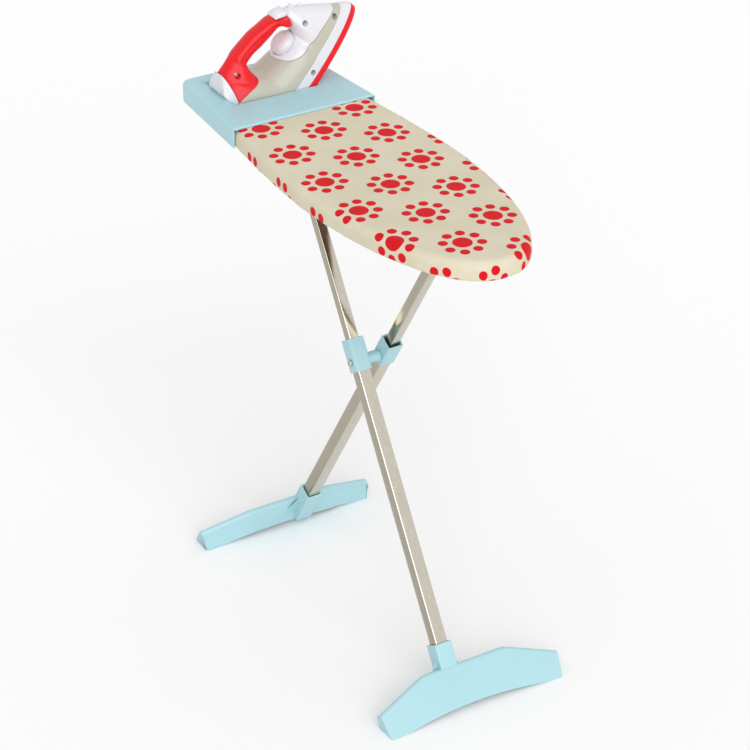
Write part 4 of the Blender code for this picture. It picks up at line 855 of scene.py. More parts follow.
        def add(xy: np.ndarray, z: np.ndarray | float, flat: np.ndarray) -> None:
            """Add one ring of points and their places on the flat cloth."""
            rings.append(np.column_stack([xy, np.broadcast_to(z, count)]))
            flats.append(np.column_stack([flat, np.zeros(count)]))

        across, along, seed = self.soft_waves
        for share in np.linspace(0, 1, self.rows + 1) ** self.row_power:
            xy = spine + (rim - spine) * share
            soft = np.array([noise.noise(Vector((x * across, y * along, seed))) for x, y in xy])
            rise = self.crown * (1 - share ** 2) + self.softness * soft * (1 - share ** 6)
            add(xy, self.top + self.free_share(xy[:, 0], self.top_start) * rise, xy)

        section = self.section()
        start, span, power = self.gather
        slack, pull = self.tension
        tension = slack + pull * np.clip(points[:, 0] / self.nose_x, 0, 1)
        free = self.free_share(points[:, 0], self.side_start)
        for step_in, height, run in section:
            gather = np.clip((run - start * self.roll) / (span * section[-1][2]), 0, 1) ** power
            folds = np.array([sum(weight * noise.noise(Vector((place * along, run * down, seed)))
                                  for along, down, seed, weight in self.folds) for place in length])
            beside = step_in < self.hem_roll - self.tolerance
            push = self.pucker * gather * tension * free * np.maximum(folds + self.fold_lift, 0) * beside
            sag = self.sag * gather * free * np.maximum(folds, 0)
            add(points + outward * (push - step_in)[:, None], height - sag, rim + outward * run)

        shelf, ceiling = self.bottom + self.cloth, self.deck_top + GAP
        for step_in, height in ((self.hem_width, shelf), (self.cloth, shelf), (self.cloth, ceiling)):
            add(points - outward * step_in, height, rim)
        edge = points - outward * self.cloth
        for share in self.cavity_shares:
            add(spine + (edge - spine) * share, ceiling, rim)
        return rings, flats

    def build(self) -> Piece:
        """Skin the rings, and cut the tail open where it goes into the tray."""
        rings, flats = self.rings()
        mesh = bpy.data.meshes.new("padded_cover")
        mesh.from_pydata(np.concatenate(rings).tolist(), [], bands(len(rings), len(rings[0])))
        layer = mesh.attributes.new(PrintedCotton.attribute, "FLOAT_VECTOR", "POINT")
        layer.data.foreach_set("vector", np.concatenate(flats).astype(np.float32).ravel())
        work = bmesh.new()
        work.from_mesh(mesh)
        bmesh.ops.remove_doubles(work, verts=work.verts, dist=self.tolerance)
        bmesh.ops.bisect_plane(work, geom=[*work.verts, *work.edges, *work.faces], clear_outer=True,
                               plane_co=(self.open_end_x, 0, 0), plane_no=(-1, 0, 0), dist=self.tolerance)
        bmesh.ops.holes_fill(work, edges=[edge for edge in work.edges if edge.is_boundary], sides=0)
        bmesh.ops.recalc_face_normals(work, faces=work.faces)
        work.to_mesh(mesh)
        work.free()
        cover = linked("padded_cover", mesh)
        self.wardrobe.dress(cover, "fabric_cover", "foam_pad", crease=self.crease)
        return cover


# Iron rest

@dataclass
class IronRest:
    """Moulded tray that caps the board's tail and holds the iron in a slot."""

    wardrobe: Wardrobe
    front_x: float = -0.1335
    back_x: float = -0.2875
    front_half: float = 0.0946
    back_half: float = 0.083
    top: float = 0.6028
    depth: float = 0.024
    wall: float = 0.0025
    edge_radius: float = 0.004
    corner_radius: float = 0.014
    cross_wall_x: float = -0.1783
    slot_x: Flat = (-0.2665, -0.190)
    slot_y: float = -0.0046
    slot_length: float = 0.1139
    slot_radius: float = 0.0025
    slot_chamfer: float = 0.002
    collar_depth: float = 0.018
    screw_spread: float = 0.066
    screw_height: float = 0.584
    screw_hole: float = 0.0019
    edge_round: float = 0.0007

    def plan(self, start: float, end: float, radius: float, inside: float = 0.0,
             steps: int = CORNER_STEPS) -> list[Vector]:
        """Outline of the tray between two places, round at the first one's corners.

        Args:
            start: the place nearer to the tail.
            end: the place nearer to the nose.
            radius: the radius of the round corners.
            inside: how far the sides are drawn in.
            steps: how many steps make a round corner.

        Returns:
            The outline's points.
        """
        slope = (self.front_half - self.back_half) / (self.front_x - self.back_x)
        near, far = (self.back_half + slope * (x - self.back_x) - inside for x in (start, end))
        return rounded([(start, -near), (end, -far), (end, far), (start, near)], [radius, 0, 0, radius], steps)

    def hollow(self, name: str, start: float, end: float, radius: float) -> Piece:
        """Cutter for one of the spaces inside the skirt."""
        return prism(name, self.plan(start, end, radius, self.wall), self.top - self.depth - OVERRUN,
                     self.top - self.wall)

    def build(self) -> Piece:
        """Mould the tray with its skirt, slot and seat."""
        outline = self.plan(self.back_x, self.front_x, self.corner_radius, steps=2 * CORNER_STEPS)
        levels = [(0.0, self.top - self.depth)] + quarter_round(self.edge_radius, self.top)
        tray = lofted("iron_rest_tray_part", [[(x, y, height) for x, y in inset(outline, distance)]
                                              for distance, height in levels])
        cut(tray, self.hollow("pocket", self.cross_wall_x, self.front_x + OVERRUN, 0),
            self.hollow("rear_hollow", self.back_x + self.wall, self.cross_wall_x - self.wall,
                        self.corner_radius - self.wall))
        half = self.slot_length / 2 - self.slot_chamfer
        low_y, high_y = self.slot_y - half, self.slot_y + half
        back, front = self.slot_x
        ring = box((back - self.wall, low_y - self.wall), (front + self.wall, high_y + self.wall))
        join(tray, prism("collar", ring, self.top - self.collar_depth, self.top - self.wall / 2))
        slot = rounded(box((back, low_y), (front, high_y)), [self.slot_radius] * 4)
        cut(tray, prism("slot", slot, self.top - self.depth - OVERRUN, self.top + OVERRUN))
        deep = self.slot_length / 2
        seat = [(self.slot_y, self.top - deep), (self.slot_y + deep, self.top), (self.slot_y - deep, self.top)]
        cut(tray, prism("seat", seat, back, front, "X"))
        for side in (-1, 1):
            cut(tray, rod("hole", self.screw_hole, self.cross_wall_x - self.wall - OVERRUN,
                          self.cross_wall_x + OVERRUN, "X", (side * self.screw_spread, self.screw_height)))
        soften(tray, self.edge_round)
        return self.wardrobe.dress(tray, "iron_rest_tray")


# Crossed legs

@dataclass
class Leg:
    """One of the two crossed legs: two square tubes, a collar and a moulded foot."""

    wardrobe: Wardrobe
    side: Side
    pivot: Point = (0.0165, 0.0, 0.3512)
    lean: float = math.radians(32)
    offset: float = 0.0185
    upper_end: float = 0.25177
    upper_start: float = -0.025
    upper_size: float = 0.0125
    upper_wall: float = 0.001
    upper_corner: float = 0.0013
    lower_end: float = 0.012
    lower_size: float = 0.016
    lower_wall: float = 0.0012
    lower_corner: float = 0.0015
    collar_size: float = 0.0202
    collar_corner: float = 0.002
    collar_span: Flat = (-0.012, 0.027)
    bolt_hole: float = 0.0028

    def frame(self) -> Matrix:
        """The leg's frame: its origin at the pivot and its Z up the leg."""
        turn = Matrix.Rotation(math.pi, 4, "Z") if self.side is Side.BACK else Matrix.Identity(4)
        return Matrix.Translation(self.pivot) @ turn @ Matrix.Rotation(-self.lean, 4, "Y")

    @property
    def reach(self) -> float:
        """From the pivot down the leg to the floor."""
        return self.pivot[2] / math.cos(self.lean)

    def tube(self, node: str, size: float, wall: float, corner: float, low: float, high: float) -> Piece:
        """A square tube on the leg's centre line, with the bolt's hole through it."""
        outer = rounded_square(size, corner)
        inner = rounded_square(size - 2 * wall, max(corner - wall, corner / 2))
        rings = [[(x, y - self.offset, height) for x, y in outline]
                 for outline, height in ((outer, low), (outer, high), (inner, high), (inner, low))]
        made = lofted(f"{node}_part", rings, True)
        cut(made, rod("hole", self.bolt_hole, -self.offset - size, -self.offset + size, "Y"))
        made.data.transform(self.frame())
        soften(made, GAP)
        return self.wardrobe.dress(made, node)

    def build(self) -> None:
        """Make the leg's visible pieces."""
        name = self.side.value
        foot = Foot(self.wardrobe, self)
        bottom = -(self.reach - foot.socket_floor_rise - GAP)
        self.tube(f"{name}_leg_upper_tube", self.upper_size, self.upper_wall, self.upper_corner,
                  self.upper_start, self.upper_end)
        self.tube(f"{name}_leg_lower_tube", self.lower_size, self.lower_wall, self.lower_corner,
                  bottom, self.lower_end)
        self.tube(f"{name}_leg_collar", self.collar_size, (self.collar_size - self.lower_size) / 2 - GAP,
                  self.collar_corner, *self.collar_span)
        foot.build()


@dataclass
class Foot:
    """Moulded cross foot: a hollow ridge with sloping ends, a socket and two webs."""

    wardrobe: Wardrobe
    leg: Leg
    half_length: float = 0.1158
    end_slant: float = 0.0042
    outer_x: float = 0.0209
    inner_x: float = -0.0099
    outer_slope: float = 0.78
    inner_slope: float = 0.22
    height: float = 0.044
    end_height: float = 0.024
    ridge_radius: float = 0.0042
    ridge_half: float = 0.052
    end_round: float = 0.002
    edge_round: float = 0.0005
    swell: float = 0.012  # eases the bend at each end of the ridge
    swell_width: float = 0.006
    ridge_spacing: float = 0.002
    ridge_rows: int = 5
    wall: float = 0.0024
    arch_height: float = 0.007
    pad_length: float = 0.018
    socket_size: float = 0.0222
    socket_corner: float = 0.0016
    socket_rise: float = 0.0741
    socket_floor_rise: float = 0.0391
    socket_floor: float = 0.005
    clearance: float = 0.0005
    screw_hole: float = 0.0019
    screw_access: float = 0.004
    web_thickness: float = 0.0025
    web_reach: float = 0.012
    web_drop: float = 0.014
    web_height: float = 0.026
    ridge_steps: int = 12
    arch_steps: int = 24

    def section(self, place: float, wall: float, drop: float = 0.0) -> Ring:
        """Ring of the shell at a place along the foot.

        Args:
            place: how far along the floor the ring stands, with its sign.
            wall: how far inside the outer skin it lies.
            drop: how far the ring is drawn in for a rounded end.

        Returns:
            The ring's points.
        """
        past = abs(place) - self.ridge_half
        blend = max(0.0, past / (self.half_length - self.ridge_half))
        blend += self.swell * math.exp(-(past / self.swell_width) ** 2)
        top = self.height + (self.end_height - self.height) * blend - wall - drop
        radius = max(self.ridge_radius - wall, self.ridge_radius / 3) + drop
        outer_lean, inner_lean = math.hypot(1, self.outer_slope), math.hypot(1, self.inner_slope)
        outer = self.outer_x - (wall + drop) * outer_lean
        centre_z = top - radius
        centre_x = outer - self.outer_slope * centre_z - radius * outer_lean
        start = math.atan2(self.outer_slope, 1)
        stop = math.pi + math.atan2(self.inner_slope, 1)
        below = OVERRUN if wall == 0 else 2 * OVERRUN
        ring = [(outer + self.outer_slope * below, -below)]
        for step in range(self.ridge_steps + 1):
            turn = start + (stop - start) * step / self.ridge_steps
            ring.append((centre_x + radius * math.cos(turn), centre_z + radius * math.sin(turn)))
        ring.append((self.inner_x + (wall + drop) * inner_lean, -below))
        slant = self.end_slant * min(abs(place) / self.half_length, 1) / self.end_height
        return [(x, math.copysign(abs(place) + slant * z, place), z) for x, z in ring]

    def shell(self, name: str, wall: float) -> Piece:
        """The foot's outer skin, or the space inside it."""
        last = self.half_length - wall
        half = [self.ridge_half + self.ridge_spacing * step
                for step in range(-self.ridge_rows, self.ridge_rows + 1)] + [last]
        rings = [self.section(place, wall) for place in [-place for place in reversed(half)] + half]
        if wall == 0:
            ends = [(last + self.end_round * math.sin(turn), self.end_round * (1 - math.cos(turn)))
                    for turn in quarter(CORNER_STEPS)[1:]]
            rings += [self.section(place, wall, drop) for place, drop in ends]
            rings = [self.section(-place, wall, drop) for place, drop in reversed(ends)] + rings
        return lofted(name, rings)

    def build(self) -> Piece:
        """Mould the foot and set it on the floor under its leg."""
        leg = self.leg
        node = f"{leg.side.value}_foot"
        foot = self.shell(f"{node}_part", 0)
        cut(foot, self.shell("hollow", self.wall))
        tilt = Matrix.Translation((0, -leg.offset, 0)) @ Matrix.Rotation(-leg.lean, 4, "Y")
        block = prism("socket", rounded_square(self.socket_size, self.socket_corner), -self.socket_size / 2,
                      self.socket_rise)
        block.data.transform(tilt)
        inside = self.socket_size / 2 - self.socket_corner
        outside = self.socket_size / 2 + self.web_reach
        top = self.socket_rise - self.web_drop
        for side in (-1, 1):
            web = prism("web", [(side * inside, top), (side * outside, top - self.web_height),
                                (side * outside, self.wall), (side * inside, self.wall)],
                        -self.web_thickness / 2, self.web_thickness / 2, "X")
            web.data.transform(tilt)
            join(block, web)
        join(foot, block)

        span, beyond = self.half_length - self.pad_length, 2 * self.half_length
        rings = []
        for step in range(-self.arch_steps - 1, self.arch_steps + 2):
            share = step / self.arch_steps
            y = span * share if abs(share) <= 1 else math.copysign(beyond, share)
            rise = max(0.0, self.arch_height * (1 - share ** 2))
            rings.append([(x, y, z) for x, z in box((-2 * self.height, -self.height), (2 * self.height, rise))])
        cut(foot, lofted("floor", rings))
        bore = prism("bore", rounded_square(leg.lower_size + 2 * self.clearance, leg.lower_corner),
                     self.socket_floor_rise, self.socket_rise + OVERRUN)
        access = rod("access", self.screw_access, -self.socket_size, self.socket_floor_rise - self.socket_floor)
        hole = rod("hole", self.screw_hole, -self.socket_size, self.socket_rise)
        for tool in (bore, access, hole):
            tool.data.transform(tilt)
            cut(foot, tool)
        down = Matrix.Translation((0, 0, -leg.reach))
        foot.data.transform(leg.frame() @ down @ Matrix.Rotation(leg.lean, 4, "Y"))
        soften(foot, self.edge_round)
        return self.wardrobe.dress(foot, node)


# Toy iron

class Pin(NamedTuple):
    """A round part set into the iron's crest: its place as a share of the length, and its sizes in metres."""

    share: float
    radius: float
    above: float
    below: float


@dataclass
class Iron:
    """Toy iron that leans in the tray's slot.

    It is built in its own frame: x across, y from the heel to the nose, z from the sole up. The lines of its
    side view are pairs of shares, of its length and of its height. A row of the handle is a share of the
    length, the shares of the height where it starts and ends, and the shares of the half width at its
    underside and at its top.
    """

    wardrobe: Wardrobe
    place: Point = (-0.22825, -0.0046, 0.546274)
    lean: float = math.radians(45)
    length: float = 0.180
    half_width: float = 0.037
    height: float = 0.101
    sole: float = 0.008
    sole_edge: float = 0.0012
    seam: float = 0.0008
    skirt_top: float = 0.0215
    heel: float = 0.004
    heel_round: float = 0.006
    heel_top_round: float = 0.001
    heel_edge: float = 0.0008
    taper: Point = (0.3, 1.5, 0.55)  # share of the length where the nose starts, and its curve's two powers
    # Along the length, the power of the cross section's arch: square below 1 and peaked above it.
    squareness: tuple[Flat, ...] = ((0.0, 0.667), (0.53, 0.667), (0.65, 1.35), (0.71, 1.3), (0.82, 0.9),
                                    (1.0, 0.7))
    crest: tuple[Flat, ...] = (
        (0.0, 0.90), (0.10, 0.915), (0.17, 0.83), (0.23, 0.69), (0.27, 0.59), (0.31, 0.55), (0.40, 0.515),
        (0.44, 0.505), (0.52, 0.505), (0.60, 0.52), (0.63, 0.63), (0.672, 0.79), (0.705, 0.78), (0.737, 0.712),
        (0.789, 0.60), (0.85, 0.447), (0.885, 0.36), (0.925, 0.25), (0.945, 0.212), (0.975, 0.16), (0.994, 0.11))
    body_top: tuple[Flat, ...] = ((-0.05, 0.685), (0.03, 0.685), (0.11, 0.668), (0.222, 0.62), (0.245, 0.675),
                                  (0.36, 0.69))
    border: tuple[Flat, ...] = ((0.37, 0.49), (0.404, 0.37), (0.448, 0.275), (0.485, 0.23), (0.54, 0.19),
                                (0.62, 0.174), (0.73, 0.16), (0.842, 0.125), (0.93, 0.085), (1.05, 0.05))
    heel_profile: tuple[Flat, ...] = ((0.030, 0.685), (0.103, 0.966), (0.095, 0.975), (0.0, 0.85))
    heel_cut: tuple[Flat, ...] = ((0.030, 0.685), (0.103, 0.966), (0.135, 1.08), (-0.1, 1.08))
    heel_arch: Flat = (0.98, 3.0)  # share of the height, and the power of its curve
    heel_taper: tuple[Flat, ...] = ((-0.02, 0.78), (0.0, 0.88), (0.018, 0.995), (0.1, 1.0))
    handle: tuple[tuple[float, float, float, float, float], ...] = (
        (0.02, 0.45, 0.90, 1.10, 0.36), (0.11, 0.43, 0.968, 1.10, 0.34), (0.172, 0.42, 0.976, 0.98, 0.33),
        (0.205, 0.47, 0.984, 0.78, 0.33), (0.222, 0.54, 0.985, 0.64, 0.33), (0.233, 0.655, 0.986, 0.50, 0.33),
        (0.245, 0.74, 0.986, 0.41, 0.33), (0.262, 0.79, 0.986, 0.36, 0.33), (0.32, 0.792, 0.982, 0.33, 0.33),
        (0.42, 0.762, 0.969, 0.33, 0.33), (0.506, 0.748, 0.926, 0.33, 0.33), (0.567, 0.744, 0.895, 0.34, 0.33),
        (0.595, 0.70, 0.875, 0.37, 0.33), (0.606, 0.645, 0.86, 0.39, 0.33), (0.631, 0.608, 0.825, 0.39, 0.33),
        (0.65, 0.655, 0.798, 0.38, 0.32), (0.66, 0.73, 0.785, 0.36, 0.32))
    handle_squareness: float = 0.75
    crease_depth: float = 0.0008
    crease_rise: float = 0.1
    crease_width: float = 0.1
    crease_middle: float = 0.36
    crease_reach: float = 0.2
    foot_share: float = 0.25
    pillar_share: float = 0.5
    button: tuple[Flat, ...] = ((0.598, 0.862), (0.655, 0.782), (0.688, 0.782), (0.690, 0.803), (0.661, 0.869),
                                (0.634, 0.890), (0.612, 0.884), (0.599, 0.876))
    button_rounds: tuple[float, ...] = (0.0004, 0.0, 0.0006, 0.0014, 0.005, 0.004, 0.0012, 0.0006)
    button_half: float = 0.0105
    button_side: float = 0.3
    travel: float = 0.0015
    stem: Pin = Pin(0.672, 0.0015, 0.00525, 0.007)
    spray: Pin = Pin(0.728, 0.0034, 0.0026, 0.007)
    nozzle: Pin = Pin(0.77, 0.0024, 0.0022, 0.0032)
    nozzle_taper: Point = (0.65, 0.35, 0.3)  # lip, mouth and throat in shares of the radius
    dial: Pin = Pin(0.514, 0.016, 0.012, 0.006)
    dial_rim: float = 0.0035
    dial_bevel: float = 0.0006
    dial_seat: float = 0.04917
    dial_room: float = 0.0005
    spindle_radius: float = 0.003
    screw_radius: float = 0.0011
    screw_head: float = 0.0016
    plan_steps: int = 47
    arch_points: int = 97
    cap_rows: int = 25
    knob_steps: int = 15
    pin_steps: int = 6
    dome_rows: int = 100
    dome_row_power: float = 1.5
    dome_steps: int = 24
    handle_rows: int = 90
    handle_sides: int = 80
    line_steps: int = 60

    def scaled(self, shares: Sequence[Flat]) -> list[Flat]:
        """Points of the side view, in metres."""
        return [(y * self.length, z * self.height) for y, z in shares]

    def crest_at(self, y: float) -> float:
        """Height of the top line at y."""
        return flowing(self.crest)(y / self.length) * self.height

    def plan(self, y: float) -> float:
        """Half width of the sole at y."""
        start, curve, power = self.taper
        share = min(max(0.0, (y / self.length - start) / (1 - start)), 1.0)
        return self.half_width * (1 - share ** curve) ** power

    def line(self, shares: Sequence[Flat], lift: float = 0.0) -> list[Flat]:
        """A smooth run of points along a line of the side view."""
        read = flowing(shares)
        places = np.linspace(shares[0][0], shares[-1][0], self.line_steps)
        return [(place * self.length, read(place) * self.height + lift) for place in places]

    def border_line(self, lift: float = 0.0) -> list[Flat]:
        """The line between the grey body and the white hood."""
        room = self.height - self.skirt_top
        shares = [(y, (self.skirt_top + z * room) / self.height) for y, z in self.border]
        return self.line(shares, lift)

    def dome(self, name: str, grow: float = 0.0, start: float = 0.0, end: float = 1.0) -> Piece:
        """The iron above its sole, as one solid.

        Args:
            name: the solid's name.
            grow: how much larger it is all round.
            start: the share of the length where it starts.
            end: the share of the length where it ends.

        Returns:
            The solid, in the iron's frame.
        """
        crest, square = flowing(self.crest), flowing(self.squareness)
        first = max(self.heel + GAP, start * self.length)
        last = min(self.crest[-1][0], end) * self.length
        base = self.sole + self.seam
        rings = []
        for share in np.linspace(0, 1, self.dome_rows):
            y = first + (last - first) * (1 - (1 - share) ** self.dome_row_power)
            width = self.plan(y) + grow
            rise = crest(y / self.length) * self.height + grow - base
            power = square(y / self.length)
            ring = []
            for step in range(2 * self.dome_steps + 1):
                turn = math.pi * step / (2 * self.dome_steps)
                ring.append((width * math.cos(turn), y, base + rise * abs(math.sin(turn)) ** power))
            rings.append(ring)
        return lofted(name, rings)

    def grip(self, name: str) -> Piece:
        """The handle before it is fitted to the body and the hood."""
        places = [row[0] for row in self.handle]
        lines = [flowing(list(zip(places, column))) for column in list(zip(*self.handle))[1:]]
        rings = []
        for place in np.linspace(places[0], places[-1], self.handle_rows):
            low, high, wide, narrow = (line(place) for line in lines)
            middle, half = (low + high) / 2 * self.height, (high - low) / 2 * self.height
            crease = self.crease_depth * max(0.0, 1 - ((place - self.crease_middle) / self.crease_reach) ** 2)
            ring = []
            for step in range(self.handle_sides):
                turn = 2 * math.pi * (step + 0.5) / self.handle_sides
                rise = math.copysign(abs(math.sin(turn)) ** self.handle_squareness, math.sin(turn))
                reach = math.copysign(abs(math.cos(turn)) ** self.handle_squareness, math.cos(turn))
                width = (narrow + (wide - narrow) * (1 - rise) / 2) * self.half_width
                width -= crease * math.exp(-((rise - self.crease_rise) / self.crease_width) ** 2)
                ring.append((width * reach, place * self.length, middle + half * rise))
            rings.append(ring)
        return lofted(name, rings)

    def seat(self, piece: Piece, *nodes: str) -> Piece:
        """Move a finished piece from the iron's frame into its slot and dress it."""
        piece.data.transform(Matrix.Translation(self.place) @ Matrix.Rotation(self.lean, 4, "X"))
        return self.wardrobe.dress(piece, *nodes)

    def split(self, name: str, solid: Piece, profile: Sequence[Flat], *cutters: Piece) -> None:
        """Make a part's left and right halves from a solid.

        Args:
            name: the part's name.
            solid: the solid that is cut, which stays as it is.
            profile: the side view of what is kept.
            cutters: what is taken out of both halves; they are used up.
        """
        for side, sign in (("right", -1), ("left", 1)):
            half = own_copy(solid, f"{name}_{side}_part")
            near, far = sorted((sign * GAP / 2, sign * 2 * self.half_width))
            keep(half, prism("half", profile, near, far, "X"))
            cut(half, *(own_copy(cutter, "cutter") for cutter in cutters))
            self.seat(half, f"{name}_{side}")
        for cutter in cutters:
            bpy.data.objects.remove(cutter, do_unlink=True)

    def screw_bore(self, node: str) -> Piece:
        """The well and the hole of one of the iron's screws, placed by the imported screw."""
        back = (Matrix.Translation(self.place) @ Matrix.Rotation(self.lean, 4, "X")).inverted()
        spots = [back @ vertex.co for vertex in self.wardrobe.frame["nodes"][node].data.vertices]
        low, high = (Vector([pick(spot[axis] for spot in spots) for axis in range(3)]) for pick in (min, max))
        centre = ((low.y + high.y) / 2, (low.z + high.z) / 2)
        seat = high.x - self.screw_head
        well = rod("well", (high.z - low.z) / 2 + GAP, seat, 2 * self.half_width, "X", centre)
        return join(well, rod("shank", self.screw_radius + GAP, low.x - GAP, seat + OVERRUN, "X", centre))

    def room_for_button(self) -> Piece:
        """The steam button's recess, with its travel and the hole for its stem."""
        outline = self.scaled(self.button)
        rear, front = outline[0][0] - GAP, outline[3][0] + GAP
        drop = self.travel + GAP
        floor = outline[1][1] - drop
        sweep = [(rear, outline[0][1] - drop), (outline[1][0], floor), (front, floor), (front, 2 * self.height),
                 (rear, 2 * self.height)]
        half = self.button_half + GAP
        hole = rod("stem_hole", self.stem.radius + GAP, floor - 2 * self.stem.below, floor + self.travel,
                   centre=(0, self.stem.share * self.length))
        return join(prism("recess", sweep, -half, half, "X"), hole)

    def shells(self) -> None:
        """Skirt, grey body and white hood, each in two halves, and the handle fitted over them."""
        solid = self.dome("dome")
        far, above = 2 * self.length, 2 * self.height
        self.split("iron_skirt", solid, box((0, 0), (far, self.skirt_top)), self.screw_bore("iron_skirt_screw"))

        top, border = self.line(self.body_top), self.border_line()
        bottom = self.skirt_top + GAP
        body = [(top[0][0], bottom), (border[-1][0], bottom)] + border[::-1]
        body += [point for point in top[::-1] if point[0] < border[0][0] - GAP]
        self.split("iron_body", solid, body, self.screw_bore("iron_body_screw"))

        border = self.border_line(2 * GAP)
        hood = border + [(border[-1][0], above), (border[0][0], above)]
        y = self.dial.share * self.length
        well = rod("dial_well", self.dial.radius + self.dial_room, self.dial_seat, above, centre=(0, y),
                   sides=ROUND_SIDES)
        spindle = rod("spindle_hole", self.spindle_radius + GAP, bottom, above, centre=(0, y))
        y = self.spray.share * self.length
        spray = rod("spray_hole", self.spray.radius + GAP, self.crest_at(y) - 2 * self.spray.below, above,
                    centre=(0, y))
        nozzle = rod("nozzle_hole", self.nozzle.radius + GAP, -2 * self.nozzle.below, 2 * self.nozzle.above)
        nozzle.data.transform(self.nozzle_place())
        self.split("iron_hood", solid, hood, well, spindle, spray, nozzle, self.room_for_button(),
                   self.screw_bore("iron_hood_screw"))
        bpy.data.objects.remove(solid, do_unlink=True)

        grip = self.grip("grip")
        join(grip, self.dome("handle_foot", end=self.foot_share))
        under = self.line(self.body_top, GAP)
        under = [(under[0][0], -self.height), (under[-1][0], -self.height)] + under[::-1]
        rear = [(y + 2 * GAP, z) for y, z in self.scaled(self.heel_cut)]
        rear = [(rear[-1][0], 0), (rear[0][0], 0)] + rear
        cut(grip, prism("under", under, -self.length, self.length, "X"),
            prism("rear", rear, -self.length, self.length, "X"), self.dome("pillar", GAP, self.pillar_share))
        self.split("iron_handle", grip, box((-far, -above), (far, above)), self.room_for_button(),
                   self.screw_bore("iron_handle_screw"))
        bpy.data.objects.remove(grip, do_unlink=True)

    def nozzle_place(self) -> Matrix:
        """Frame on the hood's front slope, with its Z out of the slope."""
        y = self.nozzle.share * self.length
        z = self.crest_at(y)
        slope = (self.crest_at(y + OVERRUN) - z) / OVERRUN
        return Matrix.Translation((0, y, z)) @ Matrix.Rotation(math.atan(slope), 4, "X")

    def sole_plate(self) -> Piece:
        """The red sole plate with its rounded lower edge."""
        start = self.taper[0] * self.length
        places = [self.heel + GAP] + [start + (self.length - start) * math.sin(turn)
                                      for turn in quarter(self.plan_steps)[:-1]]
        side = [(self.plan(y), y) for y in places]
        outline = side + [(0, self.length)] + [(-x, y) for x, y in reversed(side)]
        edge = [(distance, self.sole - height) for distance, height in quarter_round(self.sole_edge, self.sole)]
        levels = edge[::-1] + [(0.0, self.sole - self.sole_edge / 2), (self.sole_edge / 3, self.sole)]
        rings = [[(x, y, height) for x, y in inset(outline, distance)] for distance, height in levels]
        return self.seat(lofted("iron_sole_plate_part", rings), "iron_sole_plate")

    def heel_cap(self) -> Piece:
        """The white heel, arched across and rounded at its rear edge."""
        profile = [(0, 0), (self.heel, 0), (self.heel, self.heel_profile[0][1] * self.height)]
        profile += self.scaled(self.heel_profile)
        outline = rounded(profile, [0, 0, 0, 0, self.heel_top_round, self.heel_top_round, self.heel_round])
        heel = prism("iron_heel_cap_part", outline, -self.length, self.length, "X")
        share, power = self.heel_arch
        arch = [(self.half_width * math.cos(turn), share * self.height * math.sin(turn) ** (2 / power))
                for turn in np.linspace(0, math.pi, self.arch_points)]
        keep(heel, lofted("arch", [[(x * scale, y, z) for x, z in arch] for y, scale in self.heel_taper]))
        soften(heel, self.heel_edge)
        return self.seat(heel, "iron_heel_cap")

    def knob(self) -> Piece:
        """The dial: a smooth convex knob on its spindle."""
        share, radius, above, below = self.dial
        profile = [(self.spindle_radius, -below), (self.spindle_radius, 0), (radius - self.dial_bevel, 0),
                   (radius, self.dial_bevel)]
        profile += [(radius * math.cos(turn), self.dial_rim + (above - self.dial_rim) * math.sin(turn))
                    for turn in quarter(self.knob_steps)[:-1]]
        knob = turned("iron_dial_part", profile)
        knob.data.transform(Matrix.Translation((0, share * self.length, self.dial_seat + GAP)))
        return self.seat(knob, "iron_dial")

    def buttons(self) -> None:
        """The steam button, a low rounded cap, and the spray button and nozzle in front of it."""
        raw = self.scaled(self.button)
        outline = rounded(raw, self.button_rounds)
        ends, floors = zip(*raw[:3])
        rings = []
        for share in np.sin(np.linspace(-math.pi / 2, math.pi / 2, self.cap_rows)):
            fall = self.button_side + (1 - self.button_side) * math.sqrt(max(0.0, 1 - share ** 2))
            rings.append([(share * self.button_half, y, floor + (z - floor) * fall) for y, z, floor in
                          ((point.x, point.y, float(np.interp(point.x, ends, floors))) for point in outline)])
        cap = lofted("iron_steam_button_part", rings)
        share, radius, above, below = self.stem
        low = raw[1][1]
        join(cap, rod("stem", radius, low - below, low + above, centre=(0, share * self.length)))
        self.seat(cap, "iron_steam_button")

        share, radius, above, below = self.spray
        top = quarter_round(radius / 3, above, self.pin_steps)
        profile = [(radius, -below)] + [(radius - distance, height) for distance, height in top]
        pin = turned("iron_spray_button_part", profile, SMALL_SIDES)
        y = share * self.length
        pin.data.transform(Matrix.Translation((0, y, self.crest_at(y))))
        self.seat(pin, "iron_spray_button")

        _, radius, above, below = self.nozzle
        lip, mouth, throat = (part * radius for part in self.nozzle_taper)
        profile = [(radius, -below), (radius, above / 2), (lip, above), (mouth, above), (throat, -above / 2)]
        tip = turned("iron_spray_nozzle_part", profile, SMALL_SIDES)
        tip.data.transform(self.nozzle_place())
        self.seat(tip, "iron_spray_nozzle")

    def build(self) -> None:
        """Make every moulded piece of the iron."""
        self.sole_plate()
        self.shells()
        self.heel_cap()
        self.knob()
        self.buttons()


# Studio

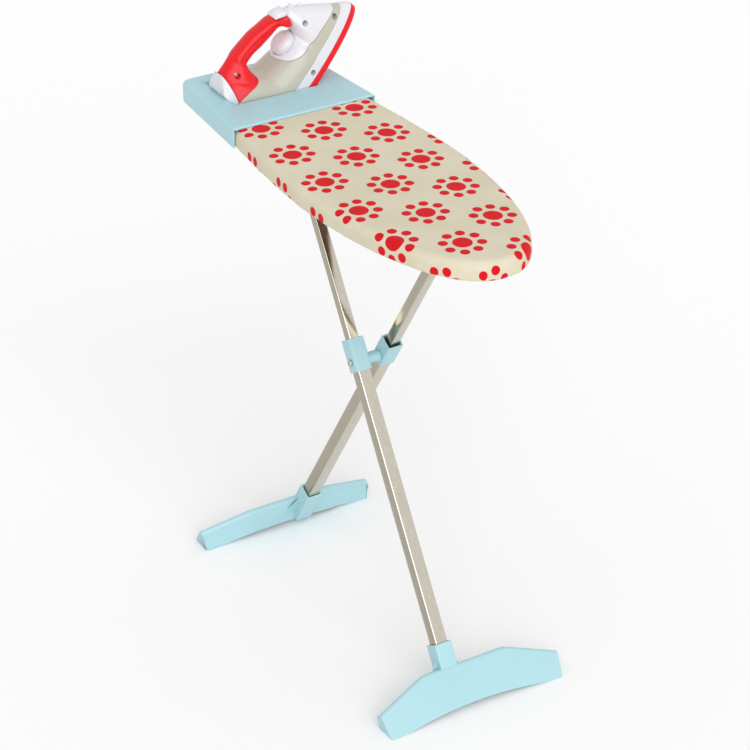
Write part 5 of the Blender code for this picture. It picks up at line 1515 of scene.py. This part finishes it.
@dataclass
class Studio:
    """Pale floor, soft light and the camera at the photograph's angle."""

    place: Point = (2.3202, -1.3821, 1.8944)
    azimuth: float = math.radians(148.97)
    elevation: float = math.radians(30.27)
    lens: float = 128.46
    sensor: float = 36.0
    clip_end: float = 100.0
    floor_size: float = 60.0
    floor_shades: Flat = (0.9, 0.995)
    sky: float = 0.74
    key: float = 1.6
    key_angle: float = math.radians(55)
    key_direction: Point = (-1, 0.3, -0.6)

    def camera(self) -> None:
        """Set the camera up."""
        data = bpy.data.cameras.new("camera")
        data.lens = self.lens
        data.sensor_width = self.sensor
        data.clip_end = self.clip_end
        camera = linked("camera", data)
        flat = math.cos(self.elevation)
        forward = Vector((math.cos(self.azimuth) * flat, math.sin(self.azimuth) * flat, -math.sin(self.elevation)))
        camera.location = self.place
        camera.rotation_mode = "QUATERNION"
        camera.rotation_quaternion = forward.to_track_quat("-Z", "Y")
        bpy.context.scene.camera = camera
        bpy.context.scene.view_settings.view_transform = "Standard"

    def sky_light(self) -> None:
        """An even white sky, seen as white and a little dimmer as light."""
        world = bpy.data.worlds.new("studio")
        bpy.context.scene.world = world
        graph = Graph(world)
        strength = graph.ramp(graph.seen_share(), 0, 1, self.sky, 1)
        graph.surface("Background", Color=(1, 1, 1, 1), Strength=strength)

    def lamp(self) -> None:
        """A broad key from above, beside the camera."""
        data = bpy.data.lights.new("key", "SUN")
        data.energy = self.key
        data.angle = self.key_angle
        lamp = linked("key", data)
        lamp.rotation_mode = "QUATERNION"
        lamp.rotation_quaternion = Vector(self.key_direction).to_track_quat("-Z", "Y")

    def floor(self) -> None:
        """A wide white floor that keeps the shadow."""
        half = self.floor_size / 2
        floor = new_piece("floor", [(x, y, 0) for x, y in box((-half, -half), (half, half))], [(0, 1, 2, 3)])
        graph = Graph(bpy.data.materials.new("floor"))
        lit, seen = ((shade, shade, shade, 1) for shade in self.floor_shades)
        colour = graph.mix(graph.seen_share(), lit, seen)
        floor.data.materials.append(graph.surface(Base_Color=colour, Roughness=1.0, Specular_IOR_Level=0.0))

    def build(self) -> None:
        """Set the whole studio up."""
        self.camera()
        self.sky_light()
        self.lamp()
        self.floor()


def main() -> None:
    """Build the studio and every piece."""
    logging.basicConfig(level=logging.INFO, format="%(message)s")
    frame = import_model()
    Studio().build()
    wardrobe = Wardrobe(frame)
    PaddedCover(wardrobe).build()
    IronRest(wardrobe).build()
    for side in Side:
        Leg(wardrobe, side).build()
    Iron(wardrobe).build()
    for node in frame["nodes"]:
        if node not in wardrobe.stood_for:
            wardrobe.refine(node, EDGES.get(node, 0.0))


if __name__ == "__main__":
    main()
